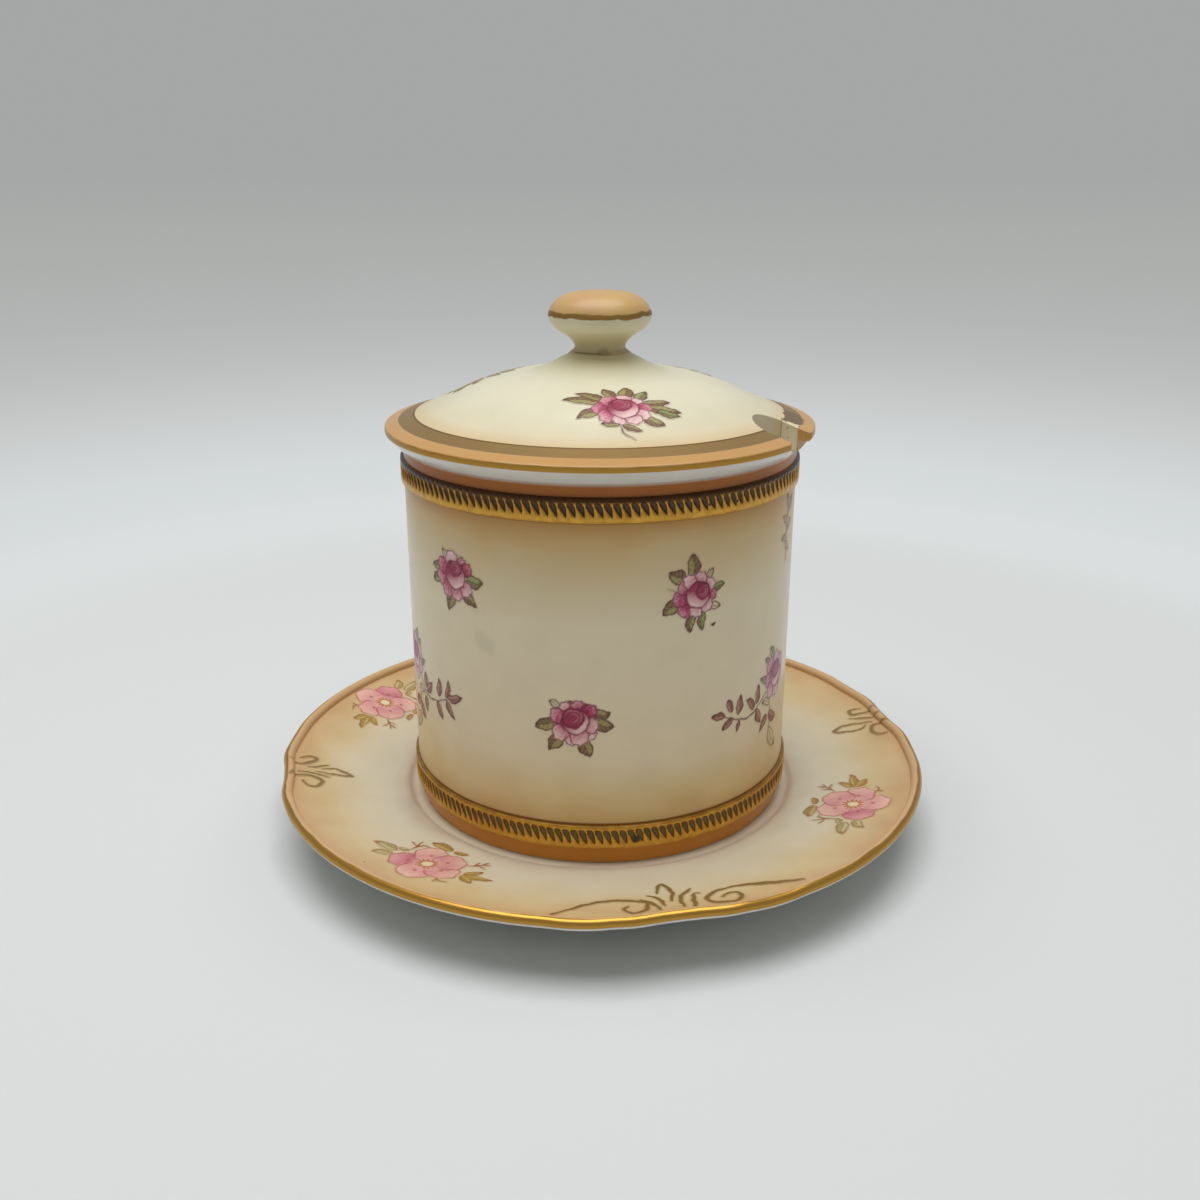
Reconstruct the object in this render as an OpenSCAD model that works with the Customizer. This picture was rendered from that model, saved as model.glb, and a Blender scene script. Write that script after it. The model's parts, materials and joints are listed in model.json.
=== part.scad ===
// Jam pot: a covered preserve pot on its own loose saucer, in glazed earthenware.
// The cover has a button knob and a notch for the spoon. Two gilt relief strips ring the pot.
// +Z is up, the origin is the centre of the saucer's foot ring on the table, and the front is -Y.

/* [Pot] */
// Outside diameter of the straight wall
pot_d = 84; // [70:1:100]
// Height of the pot alone, from its foot to its rim
pot_h = 80; // [60:1:100]
// Thickness of the wall
pot_wall = 3.8; // [3:0.1:5]
// Thickness of the floor
pot_floor = 4.5; // [3.5:0.1:7]
// How far the foot is drawn in under the lower strip
foot_inset = 0.5; // [0.2:0.1:1.2]
// Width of the unglazed ring that the pot stands on
foot_ring_w = 4.5; // [3:0.1:7]
// Depth of the recess under the pot
foot_recess = 1.2; // [0.6:0.1:2]
// Rounding of both edges of the rim
rim_round = 0.8; // [0.4:0.1:1.2]
// Rounding where the wall meets the floor, inside
floor_round = 5; // [2:0.5:8]

/* [Relief strips] */
// Height of the upper strip
upper_band_h = 4.8; // [4:0.1:6]
// Plain wall left between the upper strip and the rim
upper_band_drop = 2.8; // [2:0.1:6]
// Height of the lower strip
lower_band_h = 5; // [4:0.1:6]
// Plain foot left under the lower strip
lower_band_lift = 4; // [3:0.1:8]
// How far both strips stand out of the wall
band_proud = 0.7; // [0.6:0.1:1.2]
// Height of the plain fillet along the foot of each strip
band_fillet = 1; // [0.6:0.1:1.4]
// Height of the plain ridge along the top of each strip
band_ridge = 0.7; // [0.5:0.1:1]
// Depth of the grooves between the teeth
groove_depth = 0.5; // [0.3:0.1:0.5]
// Width of one groove
groove_w = 0.8; // [0.6:0.1:1]
// Lean of the grooves, in degrees, with the top to the left
groove_lean = 20; // [0:1:30]
// Distance from tooth to tooth on the upper strip
upper_pitch = 1.72; // [1.5:0.02:3]
// Distance from tooth to tooth on the lower strip
lower_pitch = 1.66; // [1.5:0.02:3]

/* [Cover] */
// How far the cover's edge stands out past the pot's wall
cover_overhang = 3.55; // [2.5:0.05:5]
// Height of the white bevel under the edge
cover_bevel_h = 2.6; // [1.5:0.1:3.5]
// How far the white bevel runs in
cover_bevel_w = 2.25; // [1:0.05:2.5]
// Height of the upright gilt edge above the bevel
cover_edge_h = 0.8; // [0.5:0.1:1.5]
// Rounding over the gilt edge
cover_edge_round = 0.5; // [0.3:0.05:0.6]
// Rise of the dome, from its shoulder to the knob's seat
dome_h = 14; // [12:0.5:20]
// Height of the hollow under the dome, from the pot's rim
hollow_h = 11.5; // [9:0.5:12]
// Height at which the hollow starts to curve in, from the pot's rim
hollow_spring_h = 2.5; // [1.5:0.5:4]
// Depth of the skirt that centres the cover in the pot
skirt_h = 5; // [3:0.5:8]
// Thickness of the skirt
skirt_w = 2.4; // [2:0.1:4]
// Clearance all round the skirt
skirt_play = 0.6; // [0.3:0.1:1]

/* [Spoon notch] */
// Width of the notch
notch_w = 10.5; // [8:0.5:14]
// Length of the notch, from the cover's edge to its round end
notch_l = 10.75; // [10.75:0.25:14]
// Direction of the notch, in degrees from +X
notch_turn = -27.4; // [-90:0.2:0]

/* [Knob] */
// Widest diameter of the knob
knob_d = 21.6; // [18:0.2:26]
// Height of the knob above its seat
knob_h = 12.6; // [10:0.2:16]

/* [Saucer] */
// Width of the sloping border, from the well to the rim
border_w = 28.3; // [22:0.1:40]
// Height of the rim above the floor of the well
border_rise = 7.6; // [6:0.1:14]
// Thickness of the border beside the well
border_wall = 3.2; // [2.6:0.1:4]
// Thickness of the well's floor
saucer_floor = 3.5; // [2.5:0.1:5]
// Clearance between the pot's foot and the edge of the well
well_play = 2.1; // [1:0.1:4]
// Width of the soft step round the well
well_step_w = 1.6; // [1:0.1:3]
// Height of the soft step round the well
well_step_h = 0.9; // [0.5:0.1:1.5]
// Height of the saucer's foot ring
ring_h = 3; // [2:0.1:5]
// Width of the saucer's foot ring
ring_w = 3.5; // [2.5:0.1:6]
// How far the foot ring stands outside the well
ring_out = 1.4; // [0.8:0.1:3]
// Radius of the rolled rim
roll_r = 1.2; // [0.9:0.05:1.8]
// Depth of the four nicks in the rim
nick_depth = 1.2; // [0.6:0.1:2]
// Radius that the nicks are cut to
nick_r = 30; // [15:1:60]
// Direction of the first nick, in degrees from +X
nick_turn = 12; // [0:1:89]

/* [Hidden] */
$fn = 96;
// How far every cut runs past what it cuts
over = 1;
nick_count = 4;

// Heights above the table
well_z = ring_h + saucer_floor;
seat_z = well_z + pot_h;
shoulder_z = seat_z + cover_bevel_h + cover_edge_h + cover_edge_round;
knob_z = shoulder_z + dome_h;

// Radii of the pot and of what follows it
pot_r = pot_d / 2;
bore_r = pot_r - pot_wall;
foot_r = pot_r - foot_inset;
skirt_r = bore_r - skirt_play;
hollow_r = skirt_r - skirt_w;
cover_r = pot_r + cover_overhang;
shoulder_r = cover_r - cover_edge_round;
knob_r = knob_d / 2;
well_r = foot_r + well_play;
border_r = well_r + well_step_w;
saucer_r = border_r + border_w;
ring_r = border_r + ring_out;

// The dome's profile: radii as shares of the shoulder's radius less the knob's foot, and heights
// as shares of the rise. A flat brim, a full curve, then a small cove up to the knob.
dome_r_shares = [1, 0.935, 0.85, 0.762, 0.66, 0.556, 0.428, 0.298, 0.195, 0.098, 0.056, 0.015, 0];
dome_z_shares = [0, 0.057, 0.136, 0.23, 0.352, 0.485, 0.607, 0.687, 0.739, 0.85, 0.911, 0.968, 1];

// The knob's profile: radii as shares of its radius, and heights as shares of its height.
// A short waist, a cup that opens upwards, and a rounded button top.
knob_r_shares = [0.59, 0.502, 0.501, 0.55, 0.627, 0.741, 0.862, 0.954, 1, 0.992, 0.94, 0.842, 0.658, 0.37, 0];
knob_z_shares = [0, 0.066, 0.132, 0.197, 0.262, 0.328, 0.393, 0.491, 0.588, 0.653, 0.75, 0.845, 0.94, 0.985, 1];
knob_foot_r = knob_r * knob_r_shares[0];

// The border rises along a straight line and a parabola, in these shares
border_line_share = 0.62;
// How much of the border's thickness is gone at the rim, and how late it goes
border_thin_share = 0.65;
border_thin_power = 3;
border_steps = 10;
curve_steps = 3;
arc_steps = 6;
roll_steps = 18;

function along(list, i) = list[min(max(i, 0), len(list) - 1)];

// One value of a smooth curve through a list: part is 0 at the list's entry i, and 1 at the next
function smooth(list, i, part) =
    let (a = along(list, i - 1), b = along(list, i), c = along(list, i + 1), d = along(list, i + 2))
    b + part * ((c - a) / 2 + part * ((2 * a - 5 * b + 4 * c - d) / 2
        + part * (3 * b - a - 3 * c + d) / 2));

// A smooth outline through points that are given as shares of a width and a height
function share_curve(r_shares, z_shares, r0, r, z0, z) = [
    for (i = [0:len(r_shares) - 2], k = [0:curve_steps - 1])
        [r0 + (r - r0) * smooth(r_shares, i, k / curve_steps),
         z0 + (z - z0) * smooth(z_shares, i, k / curve_steps)]
];

function arc(r, z, radius, from, to, steps = arc_steps) = [
    for (k = [0:steps])
        let (turn = from + (to - from) * k / steps)
        [r + radius * cos(turn), z + radius * sin(turn)]
];

// Height of the border's upper face where part is 0 beside the well and 1 at the rolled rim
function border_top(part) =
    let (low = well_z + well_step_h, high = well_z + border_rise - roll_r)
    low + (high - low) * (border_line_share * part + (1 - border_line_share) * part * part);

function border_under(part) =
    border_top(part) - border_wall * (1 - border_thin_share * pow(part, border_thin_power));

module saucer_profile() {
    rim_r = saucer_r - roll_r;
    rim_z = well_z + border_rise - roll_r;
    meet_share = 1 - roll_r / (rim_r - border_r);
    polygon(concat(
        [[0, well_z], [well_r, well_z]],
        [for (k = [0:border_steps]) let (part = meet_share * k / border_steps)
            [border_r + (rim_r - border_r) * part, border_top(part)]],
        arc(rim_r, rim_z, roll_r, 180, -90, roll_steps),
        [for (k = [0:border_steps]) let (part = meet_share * (1 - k / border_steps))
            [ring_r + (rim_r - ring_r) * part, border_under(part)]],
        [[ring_r, 0], [ring_r - ring_w, 0], [ring_r - ring_w, ring_h], [0, ring_h]]
    ));
}

// Shallow dish with a well for the pot, a rolled rim nicked at four places, and a foot ring
module saucer() {
    color("antiquewhite")
    difference() {
        rotate_extrude()
            saucer_profile();
        for (k = [0:nick_count - 1])
            rotate([0, 0, nick_turn + 360 / nick_count * k])
                translate([saucer_r - nick_depth + nick_r, 0, -over])
                    cylinder(r = nick_r, h = well_z + border_rise + 2 * over);
    }
}

// Straight-sided pot: drawn-in foot, recessed base, rounded rim
module pot() {
    color("wheat")
    translate([0, 0, well_z])
    rotate_extrude()
    polygon(concat(
        [[0, foot_recess], [foot_r - foot_ring_w, foot_recess], [foot_r - foot_ring_w, 0], [foot_r, 0],
         [pot_r, lower_band_lift]],
        arc(pot_r - rim_round, pot_h - rim_round, rim_round, 0, 90),
        arc(bore_r + rim_round, pot_h - rim_round, rim_round, 90, 180),
        arc(bore_r - floor_round, pot_floor + floor_round, floor_round, 0, -90),
        [[0, pot_floor]]
    ));
}

// A strip laid round the wall: plain fillet, a field of leaning grooves, rounded ridge
module relief_band(z, h, pitch) {
    field_h = h - band_fillet - band_ridge;
    count = round(2 * PI * (pot_r + band_proud) / pitch);
    translate([0, 0, z])
    difference() {
        rotate_extrude()
        polygon(concat(
            [[pot_r, 0], [pot_r + band_proud, 0]],
            arc(pot_r + band_proud - groove_depth, h - groove_depth, groove_depth, 0, 90),
            [[pot_r, h]]
        ));
        for (k = [0:count - 1])
            rotate([0, 0, 360 / count * k])
                translate([pot_r + band_proud - groove_depth, 0, band_fillet + field_h / 2])
                    rotate([groove_lean, 0, 0])
                        translate([0, -groove_w / 2, -field_h / 2])
                            cube([groove_depth + over, groove_w, field_h]);
    }
}

module upper_band() {
    color("darkgoldenrod")
        relief_band(well_z + pot_h - upper_band_drop - upper_band_h, upper_band_h, upper_pitch);
}

module lower_band() {
    color("darkgoldenrod")
        relief_band(well_z + lower_band_lift, lower_band_h, lower_pitch);
}

module cover_profile() {
    // The hollow is a spherical cap over a short straight stretch
    cap_h = hollow_h - hollow_spring_h;
    cap_r = (hollow_r * hollow_r + cap_h * cap_h) / (2 * cap_h);
    cap_turn = asin(hollow_r / cap_r);
    edge_z = seat_z + cover_bevel_h;
    polygon(concat(
        [[skirt_r, seat_z], [cover_r - cover_bevel_w, seat_z], [cover_r, edge_z]],
        arc(shoulder_r, edge_z + cover_edge_h, cover_edge_round, 0, 90),
        share_curve(dome_r_shares, dome_z_shares, knob_foot_r, shoulder_r, shoulder_z, knob_z),
        [[knob_foot_r, knob_z], [0, knob_z]],
        arc(0, seat_z + hollow_h - cap_r, cap_r, 90, 90 - cap_turn),
        [[hollow_r, seat_z - skirt_h], [skirt_r, seat_z - skirt_h]]
    ));
}

// Domed cover with a flat seat on the pot's rim, a skirt inside it, and the spoon notch
module cover() {
    round_r = notch_w / 2;
    color("ivory")
    difference() {
        rotate_extrude()
            cover_profile();
        rotate([0, 0, notch_turn])
        translate([cover_r - notch_l + round_r, 0, seat_z - skirt_h - over]) {
            cylinder(r = round_r, h = skirt_h + dome_h + 2 * over);
            translate([0, -round_r, 0])
                cube([notch_l + over, notch_w, skirt_h + dome_h + 2 * over]);
        }
    }
}

// Button knob, stuck on the flat at the top of the dome
module knob() {
    color("burlywood")
    rotate_extrude()
    polygon(concat(
        [[0, knob_z]],
        share_curve(knob_r_shares, knob_z_shares, 0, knob_r, knob_z, knob_z + knob_h),
        [[0, knob_z + knob_h]]
    ));
}

saucer();
pot();
upper_band();
lower_band();
cover();
knob();
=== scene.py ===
"""Looks of a covered jam pot on its own saucer, in glazed earthenware with gilt relief strips.

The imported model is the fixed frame, in metres. Lengths in this file are in millimetres, and become
metres where a mesh is made. The turned pieces, the moulded strips, the printed sprigs and the gilt
scrolls are modelled here, each in the place that the frame gives.
"""

import json
import logging
import math
from collections.abc import Callable, Iterator, Sequence
from contextlib import contextmanager
from dataclasses import dataclass
from enum import Enum
from typing import Any

import bpy
import numpy as np
from mathutils import Matrix, Vector

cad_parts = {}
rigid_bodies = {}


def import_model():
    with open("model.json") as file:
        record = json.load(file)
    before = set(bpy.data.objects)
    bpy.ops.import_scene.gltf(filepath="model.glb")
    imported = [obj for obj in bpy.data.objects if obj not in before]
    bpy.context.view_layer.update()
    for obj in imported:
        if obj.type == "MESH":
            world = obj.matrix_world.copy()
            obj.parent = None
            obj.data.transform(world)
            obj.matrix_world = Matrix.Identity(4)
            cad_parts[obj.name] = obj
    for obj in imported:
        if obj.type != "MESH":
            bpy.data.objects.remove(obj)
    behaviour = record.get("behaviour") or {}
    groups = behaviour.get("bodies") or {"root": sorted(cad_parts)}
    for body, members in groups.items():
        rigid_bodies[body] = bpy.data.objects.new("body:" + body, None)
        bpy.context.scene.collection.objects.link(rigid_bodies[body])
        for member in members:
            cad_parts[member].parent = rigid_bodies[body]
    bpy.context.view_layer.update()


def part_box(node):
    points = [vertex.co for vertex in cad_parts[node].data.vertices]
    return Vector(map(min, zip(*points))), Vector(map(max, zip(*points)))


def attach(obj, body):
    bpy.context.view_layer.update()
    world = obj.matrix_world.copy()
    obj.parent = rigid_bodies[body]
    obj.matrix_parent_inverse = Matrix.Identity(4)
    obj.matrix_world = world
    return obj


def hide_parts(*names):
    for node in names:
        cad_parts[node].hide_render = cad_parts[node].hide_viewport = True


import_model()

MM = 0.001
WELD = 0.002 * MM

PRINT = "print"
THROWN = "thrown_radius"

Spot = tuple[float, float]
Span = tuple[float, float]
Triple = tuple[float, float, float]
Outline = list[Spot]
Socket = bpy.types.NodeSocket
Piece = bpy.types.Object
Material = bpy.types.Material

log = logging.getLogger("jam_pot")


class Slot(Enum):
    """The record's material slots."""

    SAUCER = "saucer_glaze"
    POT = "pot_glaze"
    STRIP = "band_gilt"
    COVER = "cover_glaze"
    KNOB = "knob_glaze"


class Body(Enum):
    """The bodies that pieces ride on."""

    SAUCER = "saucer"
    POT = "pot"
    COVER = "cover"


@dataclass(frozen=True)
class Levels:
    """Heights above the table and radii that several pieces share, in mm.

    Attributes:
        well_z: Floor of the saucer's well, on which the pot stands.
        seat_z: Rim of the pot, on which the cover sits.
        pot_r: Radius of the pot's straight wall.
        strip_r: Radius of the relief strips' proud faces.
        lower_z: Foot and top of the lower strip.
        upper_z: Foot and top of the upper strip.
        skirt_z: Lower edge of the cover's skirt.
        cover_r: Radius of the cover's edge.
        knob_z: Foot and top of the knob.
        knob_r: Widest radius of the knob.
        saucer_r: Radius of the saucer's rim.
        rim_z: Top of the saucer's rolled rim.
    """

    well_z: float
    seat_z: float
    pot_r: float
    strip_r: float
    lower_z: Span
    upper_z: Span
    skirt_z: float
    cover_r: float
    knob_z: Span
    knob_r: float
    saucer_r: float
    rim_z: float

    @classmethod
    def from_frame(cls) -> "Levels":
        """Read every level from the boxes of the CAD nodes."""
        names = ("saucer", "pot", "lower_band", "upper_band", "cover", "knob")
        low = {name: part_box(name)[0] / MM for name in names}
        high = {name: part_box(name)[1] / MM for name in names}
        return cls(
            well_z=low["pot"].z,
            seat_z=high["pot"].z,
            pot_r=high["pot"].x,
            strip_r=high["lower_band"].x,
            lower_z=(low["lower_band"].z, high["lower_band"].z),
            upper_z=(low["upper_band"].z, high["upper_band"].z),
            skirt_z=low["cover"].z,
            cover_r=-low["cover"].x,
            knob_z=(low["knob"].z, high["knob"].z),
            knob_r=high["knob"].x,
            saucer_r=high["saucer"].x,
            rim_z=high["saucer"].z,
        )


# Modelling by hand


def deselect_all() -> None:
    """Leave nothing selected, so that an operator acts on its own piece alone."""
    if bpy.context.object and bpy.context.object.mode != "OBJECT":
        bpy.ops.object.mode_set(mode="OBJECT")
    bpy.ops.object.select_all(action="DESELECT")


def pick_up(piece: Piece) -> None:
    """Make one piece the only selected and active one."""
    deselect_all()
    piece.select_set(True)
    bpy.context.view_layer.objects.active = piece


@contextmanager
def editing(piece: Piece, action: str = "SELECT") -> Iterator[None]:
    """Hold a piece in edit mode.

    Args:
        piece: The mesh object to edit.
        action: What happens to the selection at the start, SELECT, DESELECT or KEEP.
    """
    pick_up(piece)
    bpy.ops.object.mode_set(mode="EDIT")
    bpy.ops.mesh.select_mode(type="VERT")
    if action != "KEEP":
        bpy.ops.mesh.select_all(action=action)
    yield
    bpy.ops.object.mode_set(mode="OBJECT")


def points_of(piece: Piece) -> np.ndarray:
    """Coordinates of a piece's vertices, in mm, one row each."""
    places = np.empty(len(piece.data.vertices) * 3, np.float32)
    piece.data.vertices.foreach_get("co", places)
    return places.reshape(-1, 3).astype(float) / MM


def set_points(piece: Piece, places: np.ndarray) -> None:
    """Put a piece's vertices at the given coordinates, in mm."""
    piece.data.vertices.foreach_set("co", (places * MM).astype(np.float32).ravel())
    piece.data.update()


def select_points(piece: Piece, wanted: np.ndarray) -> None:
    """Select the vertices that a mask marks, and nothing else, ready for edit mode."""
    with editing(piece, "DESELECT"):
        pass
    piece.data.vertices.foreach_set("select", wanted)


def refine(piece: Piece, kind: str, **settings: Any) -> None:
    """Finish a piece with a modifier, and apply it.

    Args:
        piece: The mesh object.
        kind: The modifier's type, such as BOOLEAN.
        **settings: The modifier's own settings.
    """
    pick_up(piece)
    modifier = piece.modifiers.new(kind.lower(), kind)
    for name, value in settings.items():
        setattr(modifier, name, value)
    bpy.ops.object.modifier_apply(modifier=modifier.name)


def smooth(piece: Piece, angle: float = 35.0) -> None:
    """Shade a piece smooth, apart from edges sharper than an angle in degrees."""
    pick_up(piece)
    bpy.ops.object.shade_smooth_by_angle(angle=math.radians(angle))


def close_shell(piece: Piece) -> None:
    """Merge a shell's seams and poles, and turn its faces outwards."""
    with editing(piece):
        bpy.ops.mesh.remove_doubles(threshold=WELD)
        bpy.ops.mesh.normals_make_consistent(inside=False)


def start_vertex(name: str, place: Vector) -> Piece:
    """Start a piece as one vertex, merged from a small plane.

    Args:
        name: The piece's name.
        place: Where the vertex lies, in mm.

    Returns:
        The new object, at the origin.
    """
    deselect_all()
    bpy.ops.mesh.primitive_plane_add(size=MM)
    piece = bpy.context.object
    piece.name = name
    with editing(piece):
        bpy.ops.mesh.merge(type="CENTER")
        bpy.ops.transform.translate(value=place * MM)
    return piece


def turn(name: str, outline: Outline, steps: int) -> Piece:
    """Turn an outline round the upright axis into a closed shell, as on a wheel.

    Args:
        name: The piece's name.
        outline: Points of radius and height, in mm, from pole to pole.
        steps: How many steps the turn takes.

    Returns:
        The new object, at the origin.
    """
    route = [Vector((radius, 0, z)) for radius, z in outline]
    piece = start_vertex(name, route[0])
    with editing(piece):
        for here, there in zip(route, route[1:]):
            bpy.ops.mesh.extrude_vertices_move(TRANSFORM_OT_translate={"value": (there - here) * MM})
        bpy.ops.mesh.select_all(action="SELECT")
        bpy.ops.mesh.spin(steps=steps, angle=math.tau, center=(0, 0, 0), axis=(0, 0, 1))
    close_shell(piece)
    smooth(piece)
    return piece


def arc(r: float, z: float, radius: float, start: float, end: float, steps: int = 8) -> Outline:
    """Points on an arc of an outline, centred at r and z, between two angles in degrees."""
    turns = np.radians(np.linspace(start, end, steps + 1))
    return [(r + radius * math.cos(t), z + radius * math.sin(t)) for t in turns]


def smooth_through(points: Sequence[Sequence[float]], steps: int) -> Outline:
    """Points on a Catmull-Rom curve.

    Args:
        points: The points that the curve goes through.
        steps: How many points each span gets.

    Returns:
        The curve's points, the last given point included.
    """
    known = np.array([points[0], *points, points[-1]], float)
    curve = [
        b + t * ((c - a) / 2 + t * ((2 * a - 5 * b + 4 * c - d) / 2 + t * (3 * b - a - 3 * c + d) / 2))
        for a, b, c, d in zip(known, known[1:], known[2:], known[3:])
        for t in np.arange(steps) / steps
    ]
    return [tuple(point) for point in [*curve, known[-1]]]


def from_shares(r_shares: Sequence[float], z_shares: Sequence[float], r: Span, z: Span) -> Outline:
    """Points given as shares between two radii and between two heights."""
    return [(r[0] + (r[1] - r[0]) * a, z[0] + (z[1] - z[0]) * b) for a, b in zip(r_shares, z_shares)]


def hand_over(piece: Piece, body: Body, slot: Slot, *nodes: str) -> None:
    """Let a finished piece ride on its body, and report it.

    Args:
        piece: The finished mesh object.
        body: The CAD body it moves with.
        slot: The record's slot it takes its finish from; not used.
        *nodes: The CAD nodes it stands for.
    """
    deselect_all()
    if nodes:
        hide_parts(*nodes)
    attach(piece, body.value)
    log.info("%s on %s: %d faces", piece.name, body.value, len(piece.data.polygons))


def dress(piece: Piece, *layers: tuple[Material, Callable | None]) -> None:
    """Give a piece its materials.

    Args:
        piece: The mesh object.
        *layers: Each material, with a test of face centres and normals that says where it goes.
            The centres and normals are arrays of one row a face, and the first test is None.
    """
    mesh = piece.data
    centres, normals = (np.empty(len(mesh.polygons) * 3, np.float32) for _ in range(2))
    mesh.polygons.foreach_get("center", centres)
    mesh.polygons.foreach_get("normal", normals)
    centres, normals = centres.reshape(-1, 3) / MM, normals.reshape(-1, 3)
    slots = np.zeros(len(mesh.polygons), np.int32)
    mesh.materials.clear()
    for number, (material, test) in enumerate(layers):
        mesh.materials.append(material)
        if test:
            slots[test(centres, normals)] = number
    mesh.polygons.foreach_set("material_index", slots)


# Finishes


def linear(colour: str) -> tuple[float, float, float, float]:
    """Turn an sRGB hex colour to linear red, green and blue, with a full alpha."""
    parts = [int(colour[i:i + 2], 16) / 255 for i in (1, 3, 5)]
    return (*[v / 12.92 if v <= 0.04045 else ((v + 0.055) / 1.055) ** 2.4 for v in parts], 1.0)


def add_node(
    tree: bpy.types.NodeTree,
    kind: str,
    settings: dict[str, Any] | None = None,
    inputs: dict[str | int, Any] | None = None,
    output: str | int = 0,
) -> Socket:
    """Add a node with its settings and links.

    Args:
        tree: The node tree.
        kind: The shader node's type, such as Math or TexNoise.
        settings: The node's own settings.
        inputs: A value, or a socket to link, for each named or numbered input.
        output: Which output is returned.

    Returns:
        The node's output, through which the node itself can be reached.
    """
    node = tree.nodes.new(f"ShaderNode{kind}")
    for name, value in (settings or {}).items():
        setattr(node, name, value)
    for key, value in (inputs or {}).items():
        if isinstance(value, Socket):
            tree.links.new(value, node.inputs[key])
        else:
            node.inputs[key].default_value = value
    return node.outputs[output]


@dataclass(frozen=True)
class Coat:
    """A coat of paint or metal over a glaze.

    Attributes:
        mask: Where it lies, from 0 to 1.
        colour: Its colour, as sRGB hex or from nodes.
        metallic: How metallic it is.
        roughness: How rough it is.
    """

    mask: Socket
    colour: Socket | str
    metallic: float = 0.0
    roughness: float = 0.35


class Shading:
    """A material whose nodes are being laid out, with its coordinates in mm."""

    def __init__(self, name: str) -> None:
        """Start a material, and work out the place, radius and turn of each of its points."""
        self.material = bpy.data.materials.new(name)
        self.material.use_nodes = True
        self.tree = self.material.node_tree
        self.shader = self.tree.nodes["Principled BSDF"]
        place = self.add("TexCoord", output="Object")
        self.place = self.add("VectorMath", {"operation": "SCALE"}, {0: place, "Scale": 1 / MM})
        parts = self.add("SeparateXYZ", {}, {0: self.place}).node
        self.x, self.y, self.z = parts.outputs
        flat = self.add("VectorMath", {"operation": "MULTIPLY"}, {0: self.place, 1: (1, 1, 0)})
        self.radius = self.add("VectorMath", {"operation": "LENGTH"}, {0: flat}, "Value")
        front = self.add("Math", {"operation": "MULTIPLY"}, {0: self.y, 1: -1.0})
        angle = self.add("Math", {"operation": "ARCTAN2"}, {0: self.x, 1: front})
        self.turn = self.add("Math", {"operation": "DEGREES"}, {0: angle})

    def add(
        self,
        kind: str,
        settings: dict[str, Any] | None = None,
        inputs: dict[str | int, Any] | None = None,
        output: str | int = 0,
    ) -> Socket:
        """Add a node to this material, as add_node does."""
        return add_node(self.tree, kind, settings, inputs, output)

    def moved(self, value: Socket, size: float, reach: float) -> Socket:
        """A length in mm, wandering by reach mm to both sides in patches of size mm."""
        cloud = self.add("TexNoise", {}, {"Vector": self.place, "Scale": 1 / size, "Detail": 2.0})
        swing = self.add("MapRange", {}, {0: cloud, 1: 0.3, 2: 0.7, 3: -reach, 4: reach})
        return self.add("Math", {"operation": "ADD"}, {0: value, 1: swing})

    def zone(self, value: Socket, low: float, high: float, soft: float) -> Socket:
        """A mask that is 1 where a value lies between two others.

        Args:
            value: The value, such as a height or a radius in mm.
            low: Where the mask starts.
            high: Where it ends.
            soft: Width of its soft edges.

        Returns:
            The mask, from 0 to 1.
        """
        half = soft / 2
        eased = {"interpolation_type": "SMOOTHSTEP"}
        above = self.add("MapRange", eased, {0: value, 1: low - half, 2: low + half})
        below = self.add(
            "MapRange", eased, {0: value, 1: high - half, 2: high + half, 3: 1.0, 4: 0.0}
        )
        return self.both(above, below)

    def both(self, *masks: Socket | float) -> Socket:
        """The product of masks, or of masks and strengths."""
        product = masks[0]
        for mask in masks[1:]:
            product = self.add("Math", {"operation": "MULTIPLY"}, {0: product, 1: mask})
        return product

    def spot(self, turn: float, radius: float, z: float, size: float, ragged: float = 0.3) -> Socket:
        """A mask of one ragged spot.

        Args:
            turn: Its direction, in degrees from the front to the right.
            radius: Its distance from the upright axis, in mm.
            z: Its height above the table, in mm.
            size: Its radius, in mm.
            ragged: How far its edge wanders, as a share of its radius.

        Returns:
            The mask, from 0 to 1.
        """
        side = math.radians(turn)
        middle = (radius * math.sin(side), -radius * math.cos(side), z)
        gap = self.add(
            "VectorMath", {"operation": "DISTANCE"}, {0: self.place, 1: middle}, "Value"
        )
        return self.zone(self.moved(gap, max(size, 0.6), ragged * size), -size, size, size * 0.7)

    def specks(self, spacing: float, size: float, share: float) -> Socket:
        """A mask of round specks.

        Args:
            spacing: Mean distance between the places of specks, in mm.
            size: Radius of a speck, in mm.
            share: How many of the places hold a speck, from 0 to 1.

        Returns:
            The mask, from 0 to 1.
        """
        cells = self.add("TexVoronoi", {}, {"Vector": self.place, "Scale": 1 / spacing}).node
        near = self.zone(cells.outputs["Distance"], -1.0, size / spacing, size / spacing)
        chance = self.add("SeparateColor", {}, {0: cells.outputs["Color"]})
        return self.both(near, self.zone(chance, -1.0, share, 0.01))

    def tints(self, value: Socket, stops: Sequence[tuple[float, str]]) -> Socket:
        """A colour that follows a value.

        Args:
            value: The value, such as a height or a radius in mm.
            stops: Rising values, each with its sRGB hex colour.

        Returns:
            The colour.
        """
        low, high = stops[0][0], stops[-1][0]
        share = self.add("MapRange", {}, {0: value, 1: low, 2: high})
        ramp = self.add("ValToRGB", {}, {0: share})
        elements = ramp.node.color_ramp.elements
        elements.remove(elements[1])
        for number, (place, colour) in enumerate(stops):
            spot = elements[0] if number == 0 else elements.new((place - low) / (high - low))
            spot.position = (place - low) / (high - low)
            spot.color = linear(colour)
        return ramp

    def coats(self, ground: Socket, *layers: tuple[Socket, Socket | str]) -> Socket:
        """Lay coats of colour over a ground, each where its mask says."""
        top = ground
        for mask, colour in layers:
            over = linear(colour) if isinstance(colour, str) else colour
            top = self.add("Mix", {"data_type": "RGBA"}, {0: mask, 6: top, 7: over}, 2)
        return top

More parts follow.
